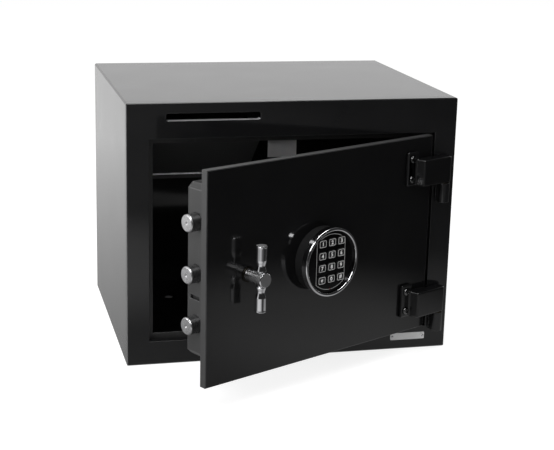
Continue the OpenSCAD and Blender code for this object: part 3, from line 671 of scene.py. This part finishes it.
bodySizes = {  # millimetres, as in every such list below
    "slotFloor": 331.0,  # height of the slot's lower side
    "slotNear": 4.0,  # how near a face lies to be part of it
    "highlightFrom": 30.0,  # the slot's floor gets a painted highlight from here on, seen from the frame's left edge
    "leftHighlight": 2.0,  # how wide the painted highlight on the left edge is
    "lipReach": 4.0,  # how far the ramp's bend lies from its end at most and at least
    "lipEnd": 0.5,
    "lipThick": 2.0,
    "lipLength": 50.0,  # the least length of an edge along the bend
    "lipHighlight": 1.5,
    "strapEdge": 0.4,
}
# painted highlight: a pale paint on the slot's floor, for the light it catches
slotHighlight = rubbedEdge("slotPaintedHighlight", level=0.6)
# painted highlight: a pale paint on the frame's front-left edge
leftHighlight = rubbedEdge("leftEdgePaintedHighlight", level=0.22)
# painted highlight: a pale paint on the bend at the chute ramp's low end
lipHighlight = rubbedEdge("lipPaintedHighlight", level=0.9)
bodyPlates = {  # node: the piece's name, the rounding of its edges in millimetres, and its paints
    "front_frame": ("frontFrame", 0.5, frameShadedPaint, bodyEdge, slotHighlight, leftHighlight),
    "body_wrap": ("foldedWrap", 0.45, bodyPaint, bodyEdge),
    "floor_plate": ("floorPlate", 0.5, bodyPaint, bodyEdge),
    "back_plate": ("backPlate", 0.8, bodyPaint, bodyEdge),
    "stop_frame": ("doorStop", 0.4, stopPaint, bodyEdge),
    "strike_channel": ("strikeChannel", 0.6, darkPaint, darkEdge),
    "chute_ramp": ("chuteRamp", 0.35, darkPaint, darkEdge, lipHighlight),
    "chute_cheek": ("chuteCheek", 0.35, darkPaint, darkEdge),
}


def rubFrame(frontFrame):  # painted highlights: the slot's floor and the frame's left edge are painted pale for the light they catch
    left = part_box("front_frame")[0].x
    slotFloor = bodySizes["slotFloor"] * mm
    paintFaces(frontFrame, 2, lambda face, spot: face.normal.z > 0.5
               and left + bodySizes["highlightFrom"] * mm < spot.x < 0
               and abs(spot.z - slotFloor) < bodySizes["slotNear"] * mm)
    paintFaces(frontFrame, 3, lambda face, spot: face.normal.x < -0.3 and face.normal.y < -0.3
               and spot.x < left + bodySizes["leftHighlight"] * mm)


def bareLip(chuteRamp):  # painted highlight: the bend at the ramp's low end is painted pale, for the light it catches
    low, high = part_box("chute_ramp")
    start, end = high.y - bodySizes["lipReach"] * mm, high.y - bodySizes["lipEnd"] * mm
    foot, length = low.z + bodySizes["lipThick"] * mm, bodySizes["lipLength"] * mm
    edit(chuteRamp)
    pickEdges(chuteRamp, lambda edge: abs(edge.verts[0].co.x - edge.verts[1].co.x) > length
              and all(start < corner.co.y < end and corner.co.z > foot for corner in edge.verts))
    bpy.ops.mesh.bevel(offset=bodySizes["lipHighlight"] * mm, segments=2, affect="EDGES", material=2)
    leave()


def makeBodyPlates():
    touches = {"front_frame": rubFrame, "chute_ramp": bareLip}
    for node, (name, width, *paints) in bodyPlates.items():
        dress(node, name, paints, width, True, touches.get(node))
    strapZinc = castZinc("strapZinc", None, grey(0.72), grey(0.9))
    dress("chute_strap", "chuteStrap", [strapZinc], bodySizes["strapEdge"])


plateSizes = {"edge": 0.15, "rivetStem": 1.0, "rivetHead": 1.7, "rivetDome": 0.6, "rivetEdge": 0.06}


def makeSillPlate():
    dress("nameplate", "sillPlate", [plateMetal("sillPlateMetal")], plateSizes["edge"])
    low, high = placesIn("nameplate_rivets", Matrix.Identity(4))[0]
    head, dome, stem = plateSizes["rivetHead"], plateSizes["rivetDome"], plateSizes["rivetStem"]
    length = (high.y - low.y) / mm
    seat = length - dome
    rivet = spun("plateRivet", [(0, 0), (stem, 0), (stem, seat), (head, seat),
                                (head * 0.9, seat + dome * 0.45), (head * 0.6, seat + dome * 0.85),
                                (0, length)], 32)
    paint(rivet, chrome("rivetMetal", None, 0.7, 0.12))
    soften(rivet, plateSizes["rivetEdge"], 1)
    setCopies(rivet, "nameplate_rivets", "plateRivet", towardsFront, Matrix.Identity(4))


makeBodyPlates()
makeSillPlate()
print("body plates, chute and sill plate made")


# Hinges

hingeSizes = {
    "armRounding": 2.4,
    "knuckleRounding": 0.5,
    "screw": (5.0, 2.6, 2.5),  # radius and height of the head, radius of the socket over its corners
    "beadRadius": 2.6,
    "beadShort": 1.5,  # how far the side beads end below the knuckle's head
    "beadSink": 0.35,  # shares of the radius: from the frame, from the knuckle's sides,
    "beadProud": 0.1,
    "beadStart": 0.35,  # at a bead's first end, in its two end ripples and at its last end
    "beadEnds": 0.75,
    "beadTip": 0.4,
    "ripple": 1.5,
    "rippleSwell": 0.06,  # how much one ripple differs from the next
}


def weldBead(name, start, end, radius):  # a bead of overlapping ripples from start to end
    start, end = Vector(start), Vector(end)
    run = end - start
    ripple = hingeSizes["ripple"] * mm
    count = max(3, int(run.length / ripple))
    step = run / count
    width = radius * hingeSizes["beadStart"]
    deselect()
    bpy.ops.mesh.primitive_circle_add(vertices=14, radius=width, fill_type="NGON")
    bead = bpy.context.object
    bead.name = name
    settle(bead, Matrix.Translation(start), run.to_track_quat("Z", "Y").to_matrix().to_4x4())
    edit(bead)
    selectAll()
    spot = start
    for i in range(count):
        swell = 1.0 + hingeSizes["rippleSwell"] * math.sin(i * 2.3)
        ends = hingeSizes["beadEnds"] if i in (0, count - 1) else 1.0
        for share, size in ((0.3, 1.0), (0.7, 0.86)):
            spot = spot + step * share
            wanted = radius * size * swell * ends
            extrude(*(step * share))
            bpy.ops.transform.resize(value=(wanted / width,) * 3, center_override=spot)
            width = wanted
    bpy.ops.transform.resize(value=(hingeSizes["beadTip"],) * 3, center_override=spot)
    faceOutwards()
    bpy.ops.object.shade_smooth_by_angle(angle=math.radians(50))
    return bead


def makeKnuckles():
    for place in ("Upper", "Lower"):
        node, name = "hinge_knuckle_" + place.lower(), "knuckle" + place
        dress(node, name, [frameShadedPaint, bodyEdge], hingeSizes["knuckleRounding"], True)
        low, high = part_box(node)
        radius = hingeSizes["beadRadius"] * mm
        front = high.y - radius * hingeSizes["beadSink"]
        proud = radius * hingeSizes["beadProud"]
        left, right = low.x - proud, high.x + proud
        foot, head = low.z - proud, high.z - hingeSizes["beadShort"] * mm
        beads = {"LeftWeld": ((left, front, foot), (left, front, head)),
                 "RightWeld": ((right, front, foot), (right, front, head)),
                 "FootWeld": ((left + radius, front, foot), (right - radius, front, foot))}
        for side, (start, end) in beads.items():
            bead = weldBead(name + side, start, end, radius)
            paint(bead, frameShadedPaint)
            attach(bead, "body")


def closeStep(arm, endRadius):  # the arm's back runs straight into its round end, with no step behind the pin
    shut = doorSwing.inverted()
    endBack = hingePoint.y + endRadius
    edit(arm)
    bpy.context.tool_settings.mesh_select_mode = (True, False, False)
    shape = bmesh.from_edit_mesh(arm.data)
    places = {corner.index: shut @ corner.co for corner in shape.verts}
    step = [corner for corner in shape.verts if abs(places[corner.index].x - hingePoint.x) < 0.1 * mm
            and places[corner.index].y > endBack + 0.3 * mm]
    for corner in step:
        corner.select_set(True)
    bmesh.update_edit_mesh(arm.data)
    if step:
        height = places[step[0].index].y - endBack
        bpy.ops.transform.translate(value=doorSwing.to_3x3() @ Vector((0, -height, 0)))
    mergeNear(0.05)
    leave()


def makeArms():
    coat = blackCoat("armCoat", doorSpot(hingePoint), 0.09, 0.004)
    for place in ("Upper", "Lower"):
        node = "hinge_arm_" + place.lower()
        arm = copyOf(node, "arm" + place)
        closeStep(arm, hingePoint.y - shutBox(node)[0].y)
        paint(arm, coat)
        soften(arm, hingeSizes["armRounding"], 4)
        stand(arm, node)


def socketScrew(name, box, head, dome, socket, sides=48):  # a domed head on a shank, with a hexagonal socket
    width = (box[1].x - box[0].x) / mm / 2
    length = (box[1].y - box[0].y) / mm
    shank = min(width, head) * 0.6
    seat = length - dome
    screw = spun(name, [(0, 0), (shank - 0.5, 0), (shank, 0.5), (shank, seat), (head, seat),
                        (head, seat + dome * 0.3), (head * 0.9, seat + dome * 0.72),
                        (head * 0.66, length - 0.12), (head * 0.5, length), (0, length)], sides)
    deselect()
    bpy.ops.mesh.primitive_cylinder_add(vertices=6, radius=socket * mm, depth=dome * 1.3 * mm,
                                        location=(0, 0, length * mm))
    carve(screw, bpy.context.object)
    soften(screw, 0.12, 2, 25)
    return screw


def makeHingeScrews():
    master = socketScrew("hingeScrew", placesIn("hinge_screws")[0], *hingeSizes["screw"])
    paint(master, darkSteel("hingeScrewSteel", doorSpot(hingePoint), 0.18, 0.1))
    setCopies(master, "hinge_screws", "hingeScrew", towardsFront)


makeKnuckles()
makeArms()
makeHingeScrews()
print("hinges made")


# Door plate and boltwork housing

doorSizes = {
    "edge": 0.3,
    "rimFace": 500,  # square millimetres: the least that a face of the door's rim has
    "housingEdge": 0.7,
    "slitFace": 150,  # the most that a face of the housing's slit has
    "slitMargin": 30,  # how far at least the slit keeps from the housing's head and foot
    "coverEdge": 0.5,
}
boltSizes = {  # the outline of a live bolt
    "back": 2.9,
    "nose": (2.2, 1.6),  # length and height of its round
    "ring": 2.2,
    "dimple": (1.4, 0.4),  # radius and depth of the step in the tip's dimple
    "deep": 1.6,
    "edge": 0.3,
}
doorCentre = doorSpot(middle(shutBox("door_plate")))


def makeDoor():
    door = copyOf("door_plate", "doorPlate")
    paint(door, blackCoat("doorEnamel", doorCentre, 0.06, 0.004),
          rubbedEdge("doorEdge", doorCentre, 0.03),
          innerPaint("doorRim", doorCentre, 0.042),
          innerPaint("doorFoot", doorCentre, 0.006))
    ahead = doorSwing.to_3x3() @ Vector((0, 1, 0))
    paintFaces(door, 2, lambda face, spot: abs(face.normal.dot(ahead)) < 0.3
               and face.calc_area() > doorSizes["rimFace"] * mm * mm)
    soften(door, doorSizes["edge"], 2, 30, True)
    paintFaces(door, 3, lambda face, spot: face.normal.z < -0.25)  # the underside lies in its own shadow
    stand(door, "door_plate")


def darkenSlit(housing):  # the sides of the slit lie in shadow
    low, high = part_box("boltwork_housing")
    margin = doorSizes["slitMargin"] * mm
    paintFaces(housing, 2, lambda face, spot: abs(face.normal.z) > 0.9
               and face.calc_area() < doorSizes["slitFace"] * mm * mm
               and low.z + margin < spot.z < high.z - margin)


def makeHousing():
    coat = innerPaint("housingPaint", doorCentre, 0.035)
    edge = rubbedEdge("housingEdge", doorCentre, 0.05)
    paints = [coat, edge, innerPaint("slitPaint", doorCentre, 0.006)]
    dress("boltwork_housing", "boltworkHousing", paints, doorSizes["housingEdge"], True, darkenSlit)
    dress("housing_cover", "housingCover", [coat, edge], doorSizes["coverEdge"], True)


def makeBolts():
    for place in ("Upper", "Middle", "Lower"):
        node, name = "live_bolt_" + place.lower(), "liveBolt" + place
        low, high = shutBox(node)
        spot = (low + high) / 2
        radius = (high.z - low.z) / 2 / mm
        length = (high.x - low.x) / mm
        nose, dimple = boltSizes["nose"], boltSizes["dimple"]
        bolt = spun(name, [(0, 0), (boltSizes["back"], 0), (radius, 0), (radius, length - nose[0]),
                           (radius - 0.5, length - 1), (radius - nose[1], length),
                           (boltSizes["ring"], length), (dimple[0], length - dimple[1]),
                           (0, length - boltSizes["deep"])])
        tip = doorSpot((low.x, spot.y, spot.z))
        # painted shade: the barrel is painted darker than the end, though both are the same turned steel
        paint(bolt, turnedSteel(name + "End", tip, "x", 0.64, rough=0.24),
              turnedSteel(name + "ShadedBarrel", tip, "x", 0.3))
        paintFaces(bolt, 1, lambda face, spot: abs(face.normal.z) < 0.3)
        soften(bolt, boltSizes["edge"], 2, 25)
        settle(bolt, doorSwing, Matrix.Translation((high.x, spot.y, spot.z)), towardsLatch)
        stand(bolt, node)


makeDoor()
makeHousing()
makeBolts()
print("door, housing and live bolts made")


# T-handle

handleSizes = {  # the hub's are measured from its outer end, the bar's from its middle
    "hubShoulder": 20.0,
    "hubStep": 1.0,
    "hubChamfer": 0.9,
    "hubRim": 0.5,
    "hubDish": 0.15,
    "hubEdge": 0.18,
    "core": 5.0,
    "collarFit": 0.2,
    "collarBevel": 0.6,
    "neck": 0.15,  # how far the waist's two ends lie below the grip
    "waist": 1.5,
    "waistAt": 16.8,
    "gripStart": 23.5,
    "gripRim": 0.35,
    "barEdge": 0.14,
}


def makeHub():
    low, high = shutBox("handle_hub")
    spot = (low + high) / 2
    radius = (high.x - low.x) / 2 / mm
    length = (high.y - low.y) / mm
    shoulder = length - handleSizes["hubShoulder"]
    step, chamfer, dish = handleSizes["hubStep"], handleSizes["hubChamfer"], handleSizes["hubDish"]
    shaft, flat = radius - step, radius - chamfer - handleSizes["hubRim"]
    hub = spun("handleHub", [(0, 0), (shaft - 0.5, 0), (shaft, 0.5), (shaft, shoulder - step),
                             (radius, shoulder), (radius, length - chamfer), (radius - chamfer, length),
                             (flat, length), (flat - 0.2, length - dish), (0, length - dish)])
    foot = doorSpot((spot.x, low.y, spot.z))
    paint(hub, turnedSteel("hubSteel", foot, "y", 0.45, 0.4 * mm, 0.14, 0.06 * mm),
          turnedSteel("hubFace", foot, "y", 0.5, 0.35 * mm, 0.34),
          chrome("hubRim", foot, 0.85, 0.12))
    paintFaces(hub, 2, lambda face, spot: spot.z > (length - chamfer) * mm and 0.3 < face.normal.z < 0.95)
    paintFaces(hub, 1, lambda face, spot: spot.z > (length - dish - 0.01) * mm and face.normal.z > 0.99)
    barY = middle(shutBox("handle_bar")).y
    deselect()
    bpy.ops.mesh.primitive_cylinder_add(vertices=64, radius=handleSizes["core"] * mm, depth=radius * 4 * mm,
                                        rotation=(math.radians(90), 0, 0), location=(0, 0, high.y - barY))
    carve(hub, bpy.context.object)
    soften(hub, handleSizes["hubEdge"], 2, 25)
    onDoor(hub, spot.x, high.y, spot.z)
    stand(hub, "handle_hub")


def makeBar():
    low, high = shutBox("handle_bar")
    hubLow, hubHigh = shutBox("handle_hub")
    spot = (low + high) / 2
    half = (high.z - low.z) / 2 / mm
    rim = (high.x - low.x) / 2 / mm
    grip = rim - handleSizes["gripRim"]
    collar = (hubHigh.z - hubLow.z) / 2 / mm + handleSizes["collarFit"]
    waist, waistAt, gripStart = handleSizes["waist"], handleSizes["waistAt"], handleSizes["gripStart"]
    bevel, neck = handleSizes["collarBevel"], grip - handleSizes["neck"]
    curve = []
    for i in range(15):  # the smooth waist: eight steps from the collar, then six to the grip
        end, share = (collar + bevel, i / 8) if i < 9 else (gripStart, (14 - i) / 6)
        curve.append((neck - waist * math.sin(share * math.pi / 2) ** 2, end + (waistAt - end) * share))
    top = curve + [(grip, gripStart + 0.4), (grip, half - 3), (rim, half - 1.6), (rim, half - 0.8),
                   (grip - 0.3, half), (0, half)]
    upper = [(handleSizes["core"], 0), (handleSizes["core"], collar), (grip - bevel, collar)] + top
    lower = [(reach, -height) for reach, height in reversed(upper[1:])]
    bar = spun("handleBar", lower + upper[1:], 72)
    paint(bar, chrome("barChrome", doorSpot(spot), 0.80, 0.05),
          turnedSteel("barEnd", doorSpot(spot), "z", 0.8, 0.4 * mm, 0.4))
    paintFaces(bar, 1, lambda face, spot: abs(face.normal.z) > 0.9 and abs(spot.z) > (half - 1) * mm)
    soften(bar, handleSizes["barEdge"], 2, 22)
    settle(bar, doorSwing, Matrix.Translation(spot))
    stand(bar, "handle_bar")


makeHub()
makeBar()
print("handle made")


# Keypad

keypadSizes = {
    "ringFit": 0.05,
    "ringBack": 0.3,
    "ringBend": 2.0,
    "ringSteps": 16,
    "ringEdge": 0.12,
    "baseEdge": 0.4,
    "faceEdge": 0.15,
    "lineHalfWidth": 24.5,  # the pale line round the keys: straight sides and round ends
    "lineReach": 36.5,
    "lineWidth": 0.55,
    "lineProud": 0.12,
    "keyFlange": 0.8,  # width and thickness of the rim that holds a key in
    "flangeDepth": 0.65,
    "keyCorner": 2.6,
    "keyChamfer": 0.35,  # width and height
    "chamferDepth": 0.25,
    "keyRim": 0.9,  # from a key's side to the line round its digit
    "keyCrown": 0.1,
    "keyLine": 0.5,
    "keyEdge": 0.12,
    "digit": 7.0,
    "digitBold": 0.2,
    "digitProud": 0.08,
    "starSize": 1.35,  # times the size of a digit
    "digitLift": 0.02,  # how far the middle of a digit's thickness stands off its key
    "lineSink": 0.02,  # how deep the pale line lies in the face plate
    "lampEdge": 0.05,
}
keyLabels = {f"key_{number}": str(number) for number in range(1, 10)}
keyLabels.update({"key_clear": "*", "key_0": "0", "key_enter": "#"})
keypadMiddle = middle(shutBox("keypad_bezel"))
keypadCentre = doorSpot(keypadMiddle)


def makeKeypadShell():
    low, high = shutBox("keypad_bezel")
    radius = (high.x - low.x) / 2 / mm
    depth = (high.y - low.y) / mm
    faceLow, faceHigh = shutBox("keypad_face")
    fit, back = keypadSizes["ringFit"], keypadSizes["ringBack"]
    faceR = (faceHigh.x - faceLow.x) / 2 / mm + fit
    baseLow, baseHigh = shutBox("keypad_base")
    baseR = (baseHigh.x - baseLow.x) / 2 / mm + fit
    step = (high.y - baseLow.y) / mm
    ring = [(baseR, 0), (radius - back, 0), (radius, back)]
    bend, steps = keypadSizes["ringBend"], keypadSizes["ringSteps"]
    for i in range(steps + 1):  # round over the front, from the outside to the inside
        turn = i / steps * math.pi
        centre = radius - bend if i <= steps / 2 else faceR + bend
        ring.append((centre + bend * math.cos(turn), depth - bend + bend * math.sin(turn)))
    ring += [(faceR, step), (baseR, step), (baseR, 0)]
    bezel = spun("keypadRing", ring, 128)
    paint(bezel, chrome("ringChrome", keypadCentre, 0.8, 0.05))
    soften(bezel, keypadSizes["ringEdge"], 2, 25)
    onDoor(bezel, keypadMiddle.x, high.y, keypadMiddle.z)
    stand(bezel, "keypad_bezel")
    dress("keypad_base", "keypadBase", [mouldedPlastic("basePlastic", keypadCentre)], keypadSizes["baseEdge"])
    dress("keypad_face", "keypadFace", [faceGloss("facePlastic", keypadCentre)], keypadSizes["faceEdge"])
    return faceLow.y


def makeFaceLine(frontY):  # a pale line let into the face, round the block of keys
    reach, side = keypadSizes["lineReach"] * mm, keypadSizes["lineHalfWidth"] * mm
    deselect()
    bpy.ops.mesh.primitive_circle_add(vertices=96, radius=reach, fill_type="NGON")
    line = bpy.context.object
    line.name = "keypadLine"
    edit(line)
    for way in (-1, 1):
        selectAll()
        bpy.ops.mesh.bisect(plane_co=(way * side, 0, 0), plane_no=(way, 0, 0), clear_outer=True)
    mergeNear(0.01)
    bpy.ops.mesh.edge_face_add()
    bpy.ops.mesh.inset(thickness=keypadSizes["lineWidth"] * mm)
    bpy.ops.mesh.delete(type="FACE")
    selectAll()
    extrude(0, 0, keypadSizes["lineProud"] * mm)
    faceOutwards()
    paint(line, paleInk("faceLineInk", keypadCentre, 0.5))
    onDoor(line, keypadMiddle.x, frontY + keypadSizes["lineSink"] * mm, keypadMiddle.z)
    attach(line, "door")


def makeKey(node, label, rubber, ink):
    low, high = shutBox(node)
    spot = (low + high) / 2
    flange, thick, rim = keypadSizes["keyFlange"], keypadSizes["flangeDepth"], keypadSizes["keyRim"]
    chamfer, rise, crown = (keypadSizes[size] for size in ("keyChamfer", "chamferDepth", "keyCrown"))
    width, height = (high.x - low.x) / mm - 2 * flange, (high.z - low.z) / mm - 2 * flange
    depth = (high.y - low.y) / mm
    stem = depth - thick - rise - crown
    name = "key" + node.split("_")[1].capitalize()
    deselect()
    bpy.ops.mesh.primitive_cube_add(size=1, scale=(width * mm, height * mm, stem * mm),
                                    location=(0, 0, (thick + stem / 2) * mm))
    key = bpy.context.object
    key.name = name
    settle(key)
    paint(key, rubber, ink)
    edit(key)
    pickEdges(key, lambda edge: abs((edge.verts[0].co - edge.verts[1].co).normalized().z) > 0.9)
    bpy.ops.mesh.bevel(offset=keypadSizes["keyCorner"] * mm, segments=6, affect="EDGES")
    pickFaces(key, lambda face, spot: face.normal.z > 0.9)
    bpy.ops.mesh.inset(thickness=chamfer * mm, depth=rise * mm)
    bpy.ops.mesh.inset(thickness=(rim - chamfer) * mm, depth=crown * mm)
    bpy.ops.mesh.inset(thickness=keypadSizes["keyLine"] * mm)
    pickFaces(key, lambda face, spot: face.normal.z < -0.9)
    extrude(0, 0, 0)
    bpy.ops.transform.resize(value=((width + 2 * flange) / width, (height + 2 * flange) / height, 1),
                             center_override=(0, 0, thick * mm))
    extrude(0, 0, -thick * mm)
    faceOutwards()
    halfX, halfY = width / 2 - rim, height / 2 - rim
    paintFaces(key, 1, lambda face, spot: spot.z > (depth - 0.01) * mm and face.normal.z > 0.9
               and max(abs(spot.x) / halfX, abs(spot.y) / halfY) > 0.5 * mm)
    soften(key, keypadSizes["keyEdge"])
    onDoor(key, spot.x, high.y, spot.z)
    stand(key, node)
    deselect()
    bpy.ops.object.text_add()
    digit = bpy.context.object
    digit.name = name + "Mark"
    digit.data.body = label
    digit.data.size = keypadSizes["digit"] * mm * (keypadSizes["starSize"] if label == "*" else 1.0)
    digit.data.extrude = keypadSizes["digitProud"] * mm
    digit.data.offset = keypadSizes["digitBold"] * mm
    digit.data.resolution_u = 3
    bpy.ops.object.convert(target="MESH")
    digit = bpy.context.object
    centre = middle(boxOf([vertex.co for vertex in digit.data.vertices]))
    paint(digit, ink)
    onDoor(digit, spot.x, low.y - keypadSizes["digitLift"] * mm, spot.z,
           Matrix.Translation((-centre.x, -centre.y, 0)))
    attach(digit, bodyOf[node])


def makeKeys():
    rubber = keyRubber("keyRubber", keypadCentre)
    ink = paleInk("keyInk", keypadCentre, 0.9)
    for node, label in keyLabels.items():
        makeKey(node, label, rubber, ink)


def makeLamp():
    low, high = shutBox("status_light")
    spot = (low + high) / 2
    radius, depth = (high.x - low.x) / 2 / mm, (high.y - low.y) / mm
    lens = spun("statusLens", [(0, 0), (radius, 0), (radius, depth - 0.5), (radius * 0.85, depth - 0.2),
                               (radius * 0.5, depth - 0.04), (0, depth)], 32)
    paint(lens, redLens("lensRed", keypadCentre))
    soften(lens, keypadSizes["lampEdge"], 1, 40)
    onDoor(lens, spot.x, high.y, spot.z)
    stand(lens, "status_light")


makeFaceLine(makeKeypadShell())
makeKeys()
makeLamp()
print("keypad made")


# Pieces inside the door and the housing keep their own shapes and get their finishes

lockCentre = doorSpot(middle(shutBox("lock_body")))
bushDark, bushLight = (0.02, 0.018, 0.015, 1), (0.05, 0.045, 0.036, 1)
innerPieces = {  # node: its piece's name, its finish and the rounding of its edges in millimetres
    "hinge_pins": ("hingePins", darkSteel("pinSteel"), 0.4),
    "hinge_washers": ("hingeWashers", brass("washerBrass", dark=(0.03, 0.026, 0.02, 1),
                                            light=(0.08, 0.066, 0.045, 1)), 0.2),
    "handle_bush": ("handleBush", brass("oilBlackBrass", doorCentre, bushDark, bushLight), 0.3),
    "lock_bolt": ("lockBolt", brass("lockBoltBrass", lockCentre), 0.5),
    # painted shade: the bolt guide is painted dark so that the slit in the housing in front of it reads dark
    "bolt_guide": ("boltGuide", darkSteel("guideSteelShaded", lockCentre, 0.07), 0.5),
    "hardplate": ("hardPlate", darkSteel("hardplateSteel", lockCentre, 0.3), 0.4),
    "cam_arm": ("camArm", darkSteel("camSteel", lockCentre, 0.34), 0.5),
    "drive_pin": ("drivePin", darkSteel("drivePinSteel", lockCentre, 0.4), 0.3),
    "carriage": ("boltCarriage", zincPlate("carriageZinc", lockCentre, 0.42), 0.5),
    "handle_spindle": ("handleSpindle", darkSteel("spindleSteel", lockCentre, 0.4), 0.4),
    "lock_body": ("lockCase", castZinc("lockCasting", lockCentre), 1.2),
    "battery_tray": ("batteryTray", mouldedPlastic("trayPlastic", lockCentre), 0.4),
    "battery": ("batteryBlock", batterySkin("batteryWrap", doorSpot(middle(shutBox("battery")))), 1.2),
    "keypad_board": ("keypadBoard", greenBoard("boardGreen", keypadCentre), 0.2),
}


def makeInnerPieces():
    for node, (name, material, width) in innerPieces.items():
        dress(node, name, [material], width)


screwSizes = {  # node: name, head radius, head height and socket radius in millimetres, and the head's way
    "cover_screws": ("coverScrew", 4.0, 2.0, 1.9, towardsBack),
    "lock_screws": ("lockScrew", 5.0, 3.0, 2.3, towardsBack),
    "keypad_screws": ("keypadScrew", 3.6, 2.2, 1.7, towardsFront),
}


def makeScrews():
    plated = zincPlate("screwZinc", doorCentre, 0.6, (1, 1, 1))
    for node, (name, head, dome, socket, facing) in screwSizes.items():
        master = socketScrew(name, placesIn(node)[0], head, dome, socket, 40)
        paint(master, plated)
        setCopies(master, node, name, facing)
    dress("bolt_screws", "boltScrews", [plated], 0.2)


makeInnerPieces()
makeScrews()
print("inner pieces and screws made")
